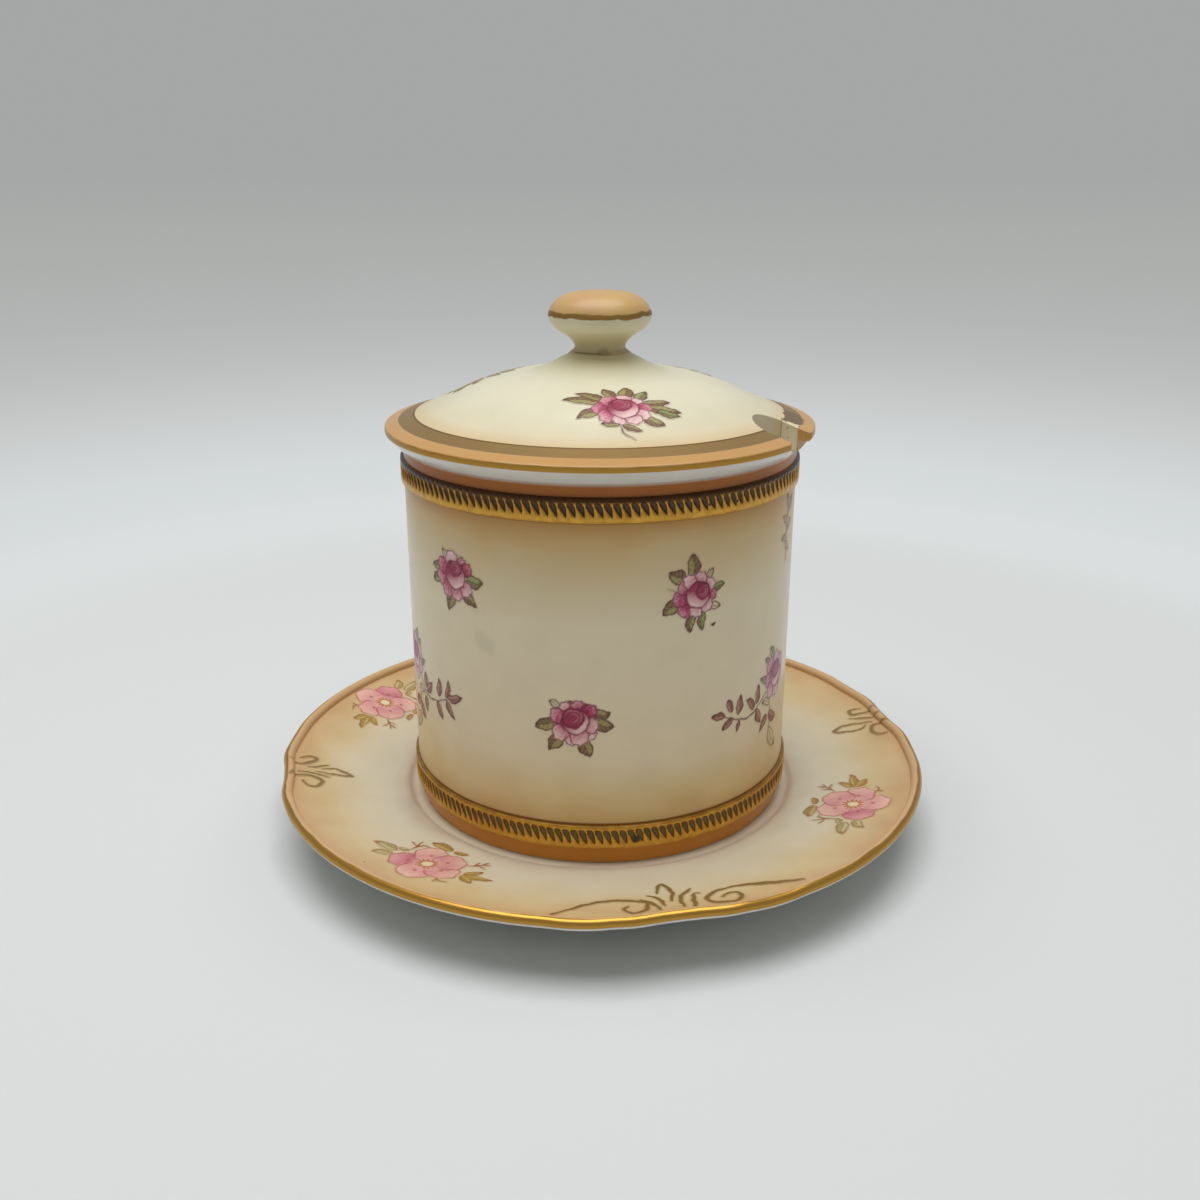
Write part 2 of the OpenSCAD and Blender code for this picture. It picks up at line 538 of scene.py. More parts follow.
    def levels(self, ground: float, *layers: tuple[Socket, float]) -> Socket:
        """Lay numbers over a ground number, each where its mask says."""
        top = ground
        for mask, value in layers:
            top = self.add("Mix", {}, {0: mask, 2: top, 3: value})
        return top

    def clouded(self, first: str, second: str, size: float) -> Socket:
        """A colour that drifts between two sRGB hex colours in soft patches of size mm."""
        cloud = self.add("TexNoise", {}, {"Vector": self.place, "Scale": 1 / size, "Detail": 3.0})
        return self.tints(cloud, [(0.35, first), (0.65, second)])

    def mottled(self, colour: Socket, size: float, depth: float) -> Socket:
        """A colour that is up to a share darker in soft patches of size mm."""
        cloud = self.add("TexNoise", {}, {"Vector": self.place, "Scale": 1 / size, "Detail": 3.0})
        shade = self.add("MapRange", {}, {0: cloud, 1: 0.35, 2: 0.65, 3: 1.0 - depth, 4: 1.0})
        return self.add("VectorMath", {"operation": "SCALE"}, {0: colour, "Scale": shade})

    def uneven(self, size: float, depth: float) -> Socket:
        """Normals of a surface that is uneven by depth mm in patches of size mm."""
        cloud = self.add("TexNoise", {}, {"Vector": self.place, "Scale": 1 / size, "Detail": 1.0})
        return self.add("Bump", {}, {"Distance": depth * MM, "Height": cloud})

    def printed(self, metallic: float = 0.0, roughness: float = 0.38) -> Coat:
        """The coat that a piece's own print lays down, which its mesh carries as an attribute."""
        ink = self.add("Attribute", {"attribute_name": PRINT}).node
        return Coat(ink.outputs["Alpha"], ink.outputs["Color"], metallic, roughness)

    def finish(
        self,
        colour: Socket,
        roughness: Socket | float,
        metallic: Socket | float = 0.0,
        normal: Socket | None = None,
    ) -> Material:
        """Connect the shader's colour, roughness, metallic share and normals.

        Args:
            colour: The base colour.
            roughness: A number, or a socket where it varies.
            metallic: A number, or a socket where it varies.
            normal: The normals, where the surface is uneven.

        Returns:
            The finished material.
        """
        wanted = {"Base Color": colour, "Roughness": roughness, "Metallic": metallic, "Normal": normal}
        for name, value in wanted.items():
            if isinstance(value, Socket):
                self.tree.links.new(value, self.shader.inputs[name])
            elif value is not None:
                self.shader.inputs[name].default_value = value
        return self.material


@dataclass(frozen=True)
class Gilding:
    """Fired bright gold, brushed on by hand, which gives the eye a warm and soft shine."""

    gold: str = "#b98b3c"
    metallic: float = 0.85
    roughness: float = 0.3

    def coat(self, mask: Socket, colour: str | None = None) -> Coat:
        """Gold of this kind where a mask says."""
        return Coat(mask, colour or self.gold, self.metallic, self.roughness)


@dataclass(frozen=True)
class PaintedGlaze:
    """Ivory lead glaze over earthenware, airbrushed with peach enamel and fired again.

    The eye gets a warm, slightly uneven ivory with a satin gloss and a few dark kiln specks.
    """

    ivory: str = "#e4dec2"
    speck: str = "#5a4a38"
    roughness: float = 0.26
    gloss: float = 0.4
    patch_size: float = 8.0
    patch_depth: float = 0.035
    speck_gap: float = 8.0
    speck_size: float = 0.18
    wave_size: float = 14.0
    wave_depth: float = 0.12

    def glazed(self, shading: Shading, ground: Socket, *coats: Coat) -> Material:
        """Finish a glaze: patches, specks, and coats of paint or gold over its tinted ground.

        Args:
            shading: The material being laid out.
            ground: The tinted colour.
            *coats: The coats over it, from the lowest to the highest.

        Returns:
            The finished material.
        """
        patched = shading.mottled(ground, self.patch_size, self.patch_depth)
        specks = shading.specks(self.speck_gap, self.speck_size, 0.25)
        colours = [(coat.mask, coat.colour) for coat in coats]
        colour = shading.coats(patched, (specks, self.speck), *colours)
        waves = shading.uneven(self.wave_size, self.wave_depth)
        shading.shader.inputs["Specular IOR Level"].default_value = self.gloss
        if not coats:
            return shading.finish(colour, self.roughness, normal=waves)
        roughness = shading.levels(self.roughness, *[(coat.mask, coat.roughness) for coat in coats])
        metallic = 0.0
        if any(coat.metallic for coat in coats):
            metallic = shading.levels(0.0, *[(coat.mask, coat.metallic) for coat in coats])
        return shading.finish(colour, roughness, metallic, waves)

    def ground(self, shading: Shading, levels: Levels) -> Socket:
        """The tinted ground, which each airbrushed glaze lays out in its own way."""
        raise NotImplementedError

    def print_material(self, name: str, levels: Levels, metallic: float = 0.0) -> Material:
        """Enamel or gold fired into this glaze: the same ground, with a soft-edged coat over it."""
        shading = Shading(name)
        return self.glazed(shading, self.ground(shading, levels), shading.printed(metallic))


@dataclass(frozen=True)
class WallGlaze(PaintedGlaze):
    """The glaze of the pot's wall: tan at both strips, fading to ivory in the middle."""

    ivory: str = "#ebddbd"
    tan: str = "#cd8425"
    upper_tan: str = "#b4691f"
    # Thin dark line where each relief strip meets the wall: painted shade in the crease.
    seam: str = "#8a5a28"

    def ground(self, shading: Shading, levels: Levels) -> Socket:
        """The airbrushed tints up the wall, which wander a little, with a thin line of painted shade where
        each strip meets the wall.
        """
        foot, top = levels.lower_z[1], levels.upper_z[0]
        stops = [
            (levels.well_z, self.tan),
            (foot - 0.2, self.tan),
            # Painted shade: a thin dark line just above the lower strip.
            (foot + 0.1, self.seam),
            (foot + 0.35, self.seam),
            (foot + 0.6, "#d6b47c"),
            (foot + 2.5, "#dfbf88"),
            (foot + 7.0, "#e5d0a2"),
            (foot + 14.0, self.ivory),
            (top - 20.0, self.ivory),
            (top - 12.0, "#e0cea5"),
            (top - 6.0, "#d8bb86"),
            (top - 1.5, "#cc9f5c"),
            (top - 0.35, "#c6964f"),
            # Painted shade: a thin dark line just below the upper strip.
            (top - 0.15, self.seam),
            (top + 0.3, self.upper_tan),
            (levels.seat_z - 0.9, self.upper_tan),
            (levels.seat_z - 0.3, "#e8e4da"),
        ]
        inner = shading.zone(shading.z, foot + 2.0, top - 2.0, 4.0)
        wander = shading.moved(shading.z, 16.0, 1.6)
        height = shading.add("Mix", {}, {0: inner, 2: shading.z, 3: wander})
        return shading.tints(height, stops)

    def material(self, name: str, levels: Levels) -> Material:
        """The finished glaze of the wall, with its smudge and the gold that ran below the strip."""
        shading = Shading(name)
        smudge = shading.both(shading.spot(-33.0, levels.pot_r, levels.well_z + 46.0, 2.2), 0.3)
        drip = shading.both(
            shading.zone(shading.z, levels.lower_z[0] - 0.3, levels.lower_z[0] + 1.0, 0.1),
            shading.zone(shading.moved(shading.turn, 3.0, 1.0), -17.0, -10.0, 0.6),
            shading.zone(shading.radius, levels.pot_r - 0.5, levels.pot_r + 5.0, 0.2),
        )
        coats = [Coat(smudge, "#b9b49a"), Gilding().coat(drip)]
        return self.glazed(shading, self.ground(shading, levels), *coats)


@dataclass(frozen=True)
class WhiteGlaze(PaintedGlaze):
    """Plain white lead glaze, as on undersides and inside: cool, clean and glossier."""

    white: str = "#e6e4dd"
    cool_white: str = "#dedcd4"
    roughness: float = 0.2

    def material(self, name: str) -> Material:
        """The finished white glaze."""
        shading = Shading(name)
        return self.glazed(shading, shading.clouded(self.white, self.cool_white, 9.0))


@dataclass(frozen=True)
class SaucerGlaze(PaintedGlaze):
    """The glaze of the saucer's face: ivory, with a peach blush towards the rim."""

    ivory: str = "#e5dcc2"
    blush: str = "#cda776"
    rim_line: str = "#d6ae7c"

    def ground(self, shading: Shading, levels: Levels, thrown: Socket | None = None) -> Socket:
        """The airbrushed tints from the well to the rim, with a greyer ring of painted shade at the step
        round the well.

        Args:
            shading: The material being laid out.
            levels: Heights and radii of the saucer.
            thrown: Radius before the rim was pressed, where the mesh carries it.

        Returns:
            The tinted colour.
        """
        rim = levels.saucer_r
        radius = shading.radius if thrown is None else thrown
        stops = [
            (0.0, self.ivory),
            # A greyer ring at the step round the well: painted shade beside the pot's foot.
            (rim - 31.5, "#e2d8bf"),
            (rim - 29.3, "#d8c9b4"),
            (rim - 27.0, "#e0d5bb"),
            (rim - 24.0, self.ivory),
            (rim - 17.0, "#e2d5b5"),
            (rim - 11.0, "#dcc698"),
            (rim - 6.0, "#d4b585"),
            (rim - 2.6, self.blush),
            (rim - 1.0, self.rim_line),
        ]
        wander = shading.moved(radius, 13.0, 2.2)
        edge = shading.zone(radius, rim - 3.0, rim + 5.0, 2.0)
        reach = shading.add("Mix", {}, {0: edge, 2: wander, 3: radius})
        return shading.tints(reach, stops)

    def material(self, name: str, levels: Levels) -> Material:
        """The finished glaze, with the gilt line that follows the rolled rim round its lobes."""
        shading = Shading(name)
        thrown = shading.add("Attribute", {"attribute_name": THROWN}, {}, "Fac")
        rim = levels.saucer_r
        line = shading.zone(shading.moved(thrown, 5.0, 0.15), rim - 1.0, rim + 5.0, 0.3)
        return self.glazed(shading, self.ground(shading, levels, thrown), Gilding().coat(line))


@dataclass(frozen=True)
class CoverGlaze(PaintedGlaze):
    """The glaze of the dome: ivory, ringed with dull bronze lustre and peach, and edged in gold.

    Attributes:
        notch_turn: Direction of the notch, in degrees from the front to the right.
    """

    peach: str = "#c99a5c"
    bronze: str = "#9c7c48"
    line: str = "#7c5c2c"
    worn: str = "#75624c"
    # Darker ivory round the knob's foot: partly airbrushed tan, partly painted shade where the knob meets
    # the dome.
    shade: str = "#dcd2a6"
    notch_turn: float = 62.6

    def ground(self, shading: Shading, levels: Levels) -> Socket:
        """The tints from the knob's foot out to the edge, darker at the knob's foot with airbrushed tan
        and painted shade.
        """
        edge = levels.cover_r
        stops = [
            # Round the knob's foot: airbrushed tan with painted shade.
            (0.0, self.shade),
            (7.0, self.shade),
            (10.0, "#e2dab6"),
            (15.0, self.ivory),
            (edge - 16.0, self.ivory),
            (edge - 10.0, "#e2d7b6"),
            (edge - 6.4, "#dcc598"),
            (edge - 2.9, "#d6b98c"),
            (edge - 2.7, self.peach),
            (edge - 0.4, self.peach),
        ]
        return shading.tints(shading.radius, stops)

    def material(self, name: str, levels: Levels) -> Material:
        """The finished glaze, with its bronze ring, worn beyond the notch, and its gilt edge."""
        shading = Shading(name)
        rim = levels.cover_r
        ring = shading.zone(shading.radius, rim - 6.25, rim - 2.85, 0.15)
        thread = shading.zone(shading.radius, rim - 6.35, rim - 5.95, 0.15)
        side = shading.moved(shading.turn, 2.0, 1.0)
        beyond = shading.zone(side, self.notch_turn, self.notch_turn + 10.0, 0.5)
        ragged = shading.moved(shading.turn, 1.3, 2.2)
        patch = shading.both(
            shading.zone(ragged, self.notch_turn + 9.5, self.notch_turn + 26.0, 0.6),
            shading.zone(shading.moved(shading.radius, 1.5, 0.5), rim - 6.6, rim - 2.6, 0.2),
        )
        edge = shading.moved(shading.z, 4.0, 0.12)
        line = shading.both(
            shading.zone(edge, levels.seat_z + 2.55, levels.seat_z + 3.6, 0.2),
            shading.zone(shading.radius, rim - 1.2, rim + 5.0, 0.2),
        )
        coats = [
            Coat(ring, self.bronze, 0.5, 0.36),
            Coat(thread, self.line, 0.5, 0.36),
            Coat(shading.both(beyond, ring), "#e3d6b0"),
            Coat(patch, self.worn, 0.1, 0.5),
            Gilding().coat(line),
        ]
        return self.glazed(shading, self.ground(shading, levels), *coats)


@dataclass(frozen=True)
class CutGlaze(PaintedGlaze):
    """The glaze on the faces of the notch: tan towards the edge, darkened by painted shade to olive at its
    inner end.
    """

    olive: str = "#9c8f6a"
    tan: str = "#c2ab7c"

    def material(self, name: str, levels: Levels) -> Material:
        """The finished glaze of the notch."""
        shading = Shading(name)
        # The olive at the inner end is painted shade deep in the notch.
        stops = [(levels.cover_r - 7.5, self.olive), (levels.cover_r - 1.0, self.tan)]
        return self.glazed(shading, shading.tints(shading.moved(shading.radius, 3.0, 0.6), stops))


@dataclass(frozen=True)
class KnobGlaze(PaintedGlaze):
    """The glaze of the knob: peach crown, gold line round its widest part, ivory cup."""

    peach: str = "#cda869"
    rosy_peach: str = "#cb9e6c"
    gold: str = "#a07c44"
    stem: str = "#d8cca0"
    roughness: float = 0.36
    seam: str = "#4a4030"

    def material(self, name: str, levels: Levels) -> Material:
        """The finished glaze, with its ragged gold line, and the seam and smudge at its foot."""
        shading = Shading(name)
        foot, top = levels.knob_z
        crown = shading.clouded(self.peach, self.rosy_peach, 5.0)
        stops = [(foot, "#c8b78a"), (foot + 2.5, self.stem), (foot + 6.0, self.ivory), (top, self.ivory)]
        below = shading.tints(shading.z, stops)
        edge = shading.moved(shading.z, 4.0, 0.28)
        ground = shading.coats(below, (shading.zone(shading.z, foot + 8.4, top + 5.0, 0.5), crown))
        seam = shading.both(
            shading.zone(shading.z, foot + 0.25, foot + 0.42, 0.1),
            shading.zone(shading.turn, -62.0, 4.0, 8.0),
            0.75,
        )
        smudge = shading.both(shading.spot(8.0, levels.knob_r * 0.54, foot + 0.2, 1.3), 0.35)
        speck = shading.spot(-66.0, levels.knob_r * 0.9, foot + 6.2, 0.3)
        gilt = Gilding(roughness=0.42).coat(shading.zone(edge, foot + 7.7, foot + 8.75, 0.25), self.gold)
        return self.glazed(
            shading, ground, Coat(seam, self.seam), Coat(smudge, "#86683a"), Coat(speck, self.seam), gilt
        )


@dataclass(frozen=True)
class ReliefGilding:
    """Gold fired over moulded relief: painted highlight makes it bright on the heights, and painted shade
    makes it brown in the hollows, where it is also dull.

    Attributes:
        gold: The gold of the flat parts.
        bright: The lighter gold of the heights, a painted highlight.
        hollow: Deepest part of a hollow, in painted shade.
        edge: Sides of a hollow, and the shaded top, both in painted shade.
        shaded_h: Height of the top that is painted in the cover's shadow, in mm.
        worn: Clay that shows where the gold is chipped off, and the painted shade in a punched dot.
        roughness: How rough the gold is.
        metallic: How metallic the heights are.
    """

    gold: str = "#bd8429"
    bright: str = "#dba645"
    hollow: str = "#7a6434"
    edge: str = "#55360f"
    shaded_h: float = 0.0
    worn: str = "#3c2a14"
    roughness: float = 0.3
    metallic: float = 0.75

    def plain(self, shading: Shading) -> Socket:
        """The gold of the strip's flat parts, a little cloudy."""
        return shading.clouded(self.gold, self.bright, 3.0)

    def material(
        self, name: str, levels: Levels, heights: Span, *dark_spots: Triple
    ) -> Material:
        """The finished gilding.

        Args:
            name: The material's name.
            levels: Heights and radii of the pot.
            heights: Foot and top of the strip, in mm.
            *chips: Turn in degrees, height and size in mm of each spot where it is chipped off, and of
                    each punched dot, painted in shade.

        Returns:
            The finished material.
        """
        shading = Shading(name)
        depth = shading.moved(shading.radius, 1.2, 0.04)
        # Painted shade that darkens with depth into a hollow, and painted highlight on the proud face.
        stops = [
            (levels.strip_r - 0.46, self.hollow),
            (levels.strip_r - 0.38, self.hollow),
            (levels.strip_r - 0.3, self.edge),
            (levels.strip_r - 0.2, self.edge),
            (levels.strip_r - 0.1, self.gold),
            (levels.strip_r, self.bright),
        ]
        low, high = heights
        recess = shading.zone(shading.z, low + 0.3, high - 0.35, 0.2)
        # Painted shadow of the cover over the top of the strip.
        shaded = shading.zone(shading.z, high - self.shaded_h, high + 1.0, 0.8)
        colour = shading.coats(self.plain(shading), (recess, shading.tints(depth, stops)))
        colour = shading.mottled(shading.coats(colour, (shaded, self.edge)), 2.0, 0.18)
        proud = shading.zone(depth, levels.strip_r - 0.18, levels.strip_r + 5.0, 0.15)
        # Dark spots: a chip in the gold, and painted shade in each punched dot.
        spots = [shading.spot(turn, levels.strip_r, z, size) for turn, z, size in dark_spots]
        colour = shading.coats(colour, *[(spot, self.worn) for spot in spots])
        metallic = shading.levels(0.25, (proud, self.metallic), *[(spot, 0.0) for spot in spots])
        return shading.finish(colour, self.roughness, metallic, shading.uneven(1.2, 0.04))


@dataclass(frozen=True)
class Biscuit:
    """Bare fired clay, where a foot is wiped clean of glaze: pale buff, matt and fine-grained."""

    clay: str = "#d2c5ab"
    dusty_clay: str = "#c2b394"

    def material(self, name: str) -> Material:
        """The finished bare clay."""
        shading = Shading(name)
        colour = shading.clouded(self.clay, self.dusty_clay, 1.5)
        return shading.finish(colour, 0.8, normal=shading.uneven(0.5, 0.05))


# Printed and painted decoration


class LeafKind(Enum):
    """How a printed leaf is tinted."""

    OLIVE = "brown and olive"
    GREEN = "olive and fresh green"
    BARE = "outline over a pale wash"


OLIVE, GREEN, BARE = LeafKind


@dataclass(frozen=True)
class Inks:
    """Enamel colours of a printed transfer, as sRGB hex.

    Attributes:
        deep: Darkest petal colour.
        mid: Middle petal colour.
        pale: Lightest petal colour.
        edge: Outlines of petals.
        line: Outlines of leaves, veins and stems.
        leaves: Dark and light tint of each kind of leaf.
    """

    deep: str
    mid: str
    pale: str
    edge: str
    line: str
    leaves: dict[LeafKind, tuple[str, str]]


@dataclass(frozen=True)
class Leaf:
    """A printed leaf, from its base to its tip, in mm."""

    base: Spot
    tip: Spot
    width: float
    kind: LeafKind = OLIVE


@dataclass(frozen=True)
class Bloom:
    """A printed rose, in mm about its middle.

    Attributes:
        petals: Across, up, radius and lightness of each outer petal, from back to front.
        cup: Across, up and radius of the ring of inner petals.
        heart: Across, up and radius of the dark heart.
        glow: Direction of the pale crescent on the cup, in degrees.
    """

    petals: tuple[tuple[float, float, float, float], ...]
    cup: tuple[float, float, float]
    heart: tuple[float, float, float]
    glow: float

    def paint(self, canvas: "Canvas", x: float, y: float, inks: Inks) -> None:
        """Paint the outer petals, the cup with its pale crescent, and the heart with its swirl.

        Args:
            canvas: The sheet to paint on.
            x: How far across the sheet the rose's middle lies, in mm.
            y: How far up the sheet it lies, in mm.
            inks: The colours.
        """
        cup_x, cup_y, cup_r = x + self.cup[0], y + self.cup[1], self.cup[2]
        heart_x, heart_y, heart_r = x + self.heart[0], y + self.heart[1], self.heart[2]
        for across, up, radius, lightness in self.petals:
            canvas.petal((x + across, y + up), radius, lightness, (cup_x, cup_y), inks)
        glow = math.radians(self.glow)
        cup = canvas.disc(cup_x, cup_y, cup_r)
        body = canvas.edge(cup)
        lit = ((canvas.x - cup_x) * math.cos(glow) + (canvas.y - cup_y) * math.sin(glow)) / cup_r
        tone = 0.6 + 0.5 * lit + 0.4 * (canvas.grain - 0.5)
        canvas.lay(body, canvas.between(inks.deep, inks.mid, tone))
        heart = canvas.disc(heart_x, heart_y, heart_r)
        crescent = canvas.edge(cup - 0.15) * canvas.edge(-heart - 0.2)
        canvas.lay(0.95 * crescent * np.clip(0.15 + 1.2 * lit, 0, 1), inks.pale)
        canvas.lay(0.9 * body * canvas.edge(canvas.line_w - cup), inks.edge)
        canvas.lay(canvas.edge(heart), canvas.between(inks.deep, inks.mid, 0.1 + 0.5 * canvas.grain))
        away = np.hypot(canvas.x - heart_x, canvas.y - heart_y)
        turns = np.arctan2(canvas.y - heart_y, canvas.x - heart_x)
        for ring in (0.42, 0.76):
            thread = canvas.edge(0.07 - np.abs(away - heart_r * (ring + 0.07 * np.sin(2 * turns))))
            canvas.lay(0.45 * thread * np.clip(np.cos(turns - glow - 2.4 * ring) + 0.5, 0, 1), inks.pale)
        canvas.lay(0.9 * canvas.edge(heart) * canvas.edge(canvas.line_w - heart), inks.edge)


@dataclass(frozen=True)
class DogRose:
    """A printed single rose, in mm about its middle.

    Attributes:
        petals: Direction in degrees and lightness of each petal.
        reach: Distance from the middle to a petal's own middle.
        petal_r: Radius of a petal.
        eye_r: Radius of the pale eye.
        stamen_r: Radius that the orange stamens reach.
    """

    petals: tuple[tuple[float, float], ...]
    reach: float = 4.4
    petal_r: float = 3.6
    eye_r: float = 1.15
    stamen_r: float = 2.5
    stamen: str = "#b8681f"
    eye: str = "#ecd9b4"

    def paint(self, canvas: "Canvas", x: float, y: float, inks: Inks) -> None:
        """Paint five open petals round a pale eye with jagged stamens, and a dot on each petal.

        Args:
            canvas: The sheet to paint on.
            x: How far across the sheet the rose's middle lies, in mm.
            y: How far up the sheet it lies, in mm.
            inks: The colours.
        """
        for turn, lightness in self.petals:
            across, up = math.cos(math.radians(turn)), math.sin(math.radians(turn))
            middle = (x + self.reach * across, y + self.reach * up)
            canvas.petal(middle, self.petal_r, lightness, (x, y), inks)
        away = np.hypot(canvas.x - x, canvas.y - y)
        turns = np.arctan2(canvas.y - y, canvas.x - x)
        canvas.lay(0.8 * np.clip(1.6 - away / self.stamen_r, 0, 1), inks.pale)
        teeth = self.stamen_r * (0.78 + 0.2 * np.sign(np.sin(13 * turns)) * np.abs(np.sin(13 * turns)))
        canvas.lay(0.9 * canvas.edge(teeth - away), self.stamen)
        canvas.lay(canvas.edge(self.eye_r - away), self.eye)
        for turn, _ in self.petals:
            across, up = math.cos(math.radians(turn)), math.sin(math.radians(turn))
            dot = canvas.disc(x + 0.93 * self.reach * across, y + 0.93 * self.reach * up, 0.42)
            canvas.lay(0.7 * canvas.edge(dot), inks.edge)


@dataclass(frozen=True)
class Stroke:
    """A painted line with tapered ends, through a few spots in mm."""

    width: float
    spots: tuple[Spot, ...]


@dataclass(frozen=True)
class Sprig:
    """A printed transfer: blooms, leaves and stems, in mm about its middle.

    Attributes:
        inks: The colours it is printed in.
        blooms: Each bloom, with where its middle lies.
        leaves: The leaves.
        stems: The stems and tendrils.
        bloom_reach: How far a bloom reaches from its middle.
    """

    inks: Inks
    blooms: tuple[tuple[float, float, Bloom | DogRose], ...] = ()
    leaves: tuple[Leaf, ...] = ()
    stems: tuple[Stroke, ...] = ()
    bloom_reach: float = 6.4

    def spots(self) -> list[Spot]:
        """Spots between which the whole transfer lies."""
        far = self.bloom_reach
        corners = [(x + side * far, y + side * far) for x, y, _ in self.blooms for side in (-1, 1)]
        ends = [spot for leaf in self.leaves for spot in (leaf.base, leaf.tip)]
        return [*corners, *ends, *[spot for stem in self.stems for spot in stem.spots]]

    def paint(self, canvas: "Canvas") -> None:
        """Paint the whole transfer, stems first and blooms last."""
        for stem in self.stems:
            canvas.stroke(stem, self.inks.line)
        for leaf in self.leaves:
            canvas.leaf(leaf, self.inks)
        for x, y, bloom in self.blooms:
            bloom.paint(canvas, x, y, self.inks)


@dataclass(frozen=True)
class Scroll:
    """Scrollwork brushed on in gold, in mm outwards and across from the line of a nick."""

    strokes: tuple[Stroke, ...]
    boldness: float = 1.2
    gold: str = "#9c7c44"

    def spots(self) -> list[Spot]:
        """Spots between which the scrollwork lies."""
        return [spot for stroke in self.strokes for spot in stroke.spots]

    def paint(self, canvas: "Canvas") -> None:
        """Brush every stroke."""
        for stroke in self.strokes:
            canvas.stroke(Stroke(self.boldness * stroke.width, stroke.spots), self.gold)


class Canvas:
    """Points of a thin sheet that a transfer is painted on, each with a colour and a cover.

    Attributes:
        soft: Width of a soft edge, in mm.
        line_w: Width of a printed outline, in mm.
    """

    soft = 0.18
    line_w = 0.28

    def __init__(self, places: np.ndarray, seed: int) -> None:
        """Start a bare canvas.

        Args:
            places: Where the points lie on the sheet, in mm.
            seed: Number that settles how the painter's hand wavers.
        """
        phase = np.random.default_rng(seed).uniform(0, math.tau, 6)
        x, y = places[:, 0], places[:, 1]
        self.x = x + 0.1 * np.sin(1.9 * y + phase[0]) + 0.05 * np.sin(4.1 * x + 3.3 * y + phase[1])
        self.y = y + 0.1 * np.sin(2.1 * x + phase[2]) + 0.05 * np.sin(3.7 * x - 4.3 * y + phase[3])
        drift = 1.3 * np.sin(1.7 * x - 2.3 * y + phase[1]) + 0.9 * np.sin(2.9 * x + 1.1 * y + phase[3])
        broad = np.sin(3.1 * x + 4.3 * y + 2 * drift + phase[4])
        fine = np.sin(4.7 * x - 2.6 * y - drift + phase[5])
        self.grain = 0.5 + 0.22 * (broad + fine)
        self.colour = np.zeros((len(x), 3))
        self.cover = np.zeros(len(x))

    def edge(self, inside: np.ndarray) -> np.ndarray:
        """A mask with soft edges, from a distance inside a shape in mm."""
        return np.clip(inside / self.soft + 0.5, 0, 1)

    def disc(self, x: float, y: float, radius: float) -> np.ndarray:
        """Distance inside a circle, in mm."""
        return radius - np.hypot(self.x - x, self.y - y)

    def between(self, first: str, second: str, share: np.ndarray) -> np.ndarray:
        """A colour for each point, between two sRGB hex colours."""
        low, high = (np.array(linear(colour)[:3]) for colour in (first, second))
        return low + (high - low) * np.clip(share, 0, 1)[:, None]

    def lay(self, mask: np.ndarray, colour: np.ndarray | str) -> None:
        """Lay a colour over what is there, where a mask says."""
        paint = np.array(linear(colour)[:3]) if isinstance(colour, str) else colour
        under = self.cover * (1 - mask)
        total = np.maximum(mask + under, 1e-6)[:, None]
        self.colour = (mask[:, None] * paint + under[:, None] * self.colour) / total
        self.cover = mask + under

    def stroke(self, stroke: Stroke, colour: str) -> None:
        """Draw a line with tapered ends.

        Args:
            stroke: Its width and the spots it goes through.
            colour: Its sRGB hex colour.
        """
        route = np.array(smooth_through(stroke.spots, 5))
        lengths = np.hypot(*np.diff(route, axis=0).T)
        walked = np.concatenate([[0], np.cumsum(lengths)]) / lengths.sum()
        inside = np.full(len(self.x), -1e3)
        for here, there, start, end in zip(route, route[1:], walked, walked[1:]):
            dx, dy = there - here
            part = ((self.x - here[0]) * dx + (self.y - here[1]) * dy) / max(dx * dx + dy * dy, 1e-9)
            part = np.clip(part, 0, 1)
            away = np.hypot(self.x - here[0] - part * dx, self.y - here[1] - part * dy)
            fullness = 0.55 + 0.45 * np.sin(math.pi * (start + (end - start) * part))
            inside = np.maximum(inside, stroke.width / 2 * fullness - away)
        self.lay(0.9 * self.edge(inside), colour)

    def leaf(self, leaf: Leaf, inks: Inks) -> None:
        """Paint a leaf: two halves of different tint, veins, midrib, outline and a dark point.

        Args:
            leaf: Its place, width and kind.
            inks: The colours.
        """
        base, tip = np.array(leaf.base), np.array(leaf.tip)
        length = float(np.linalg.norm(tip - base))
        ux, uy = (tip - base) / length
        along = ((self.x - base[0]) * ux + (self.y - base[1]) * uy) / length
        share = np.clip(along, 0, 1)
        across = (self.y - base[1]) * ux - (self.x - base[0]) * uy
        across = across + 0.05 * length * np.sin(math.pi * share)
        half = leaf.width / 2 * np.sin(math.pi * share**0.8) ** 0.7
        inside = np.minimum(half - np.abs(across), length * np.minimum(along, 1 - along) + 0.05)
        body = self.edge(inside)
        veins = np.sin((along * length - 0.9 * np.abs(across)) * 6.0)
        tone = 0.05 + 0.7 * self.edge(across) + 0.2 * share + 0.2 * veins + 0.3 * (self.grain - 0.5)
        strength = 0.4 if leaf.kind is BARE else 0.93
        self.lay(strength * body, self.between(*inks.leaves[leaf.kind], tone))
        self.lay(0.9 * body * self.edge(self.line_w - inside), inks.line)
        self.lay(0.75 * body * self.edge(0.08 - np.abs(across)) * (share < 0.9), inks.line)
        self.lay(0.7 * body * np.clip((share - 0.72) / 0.2, 0, 1), inks.line)

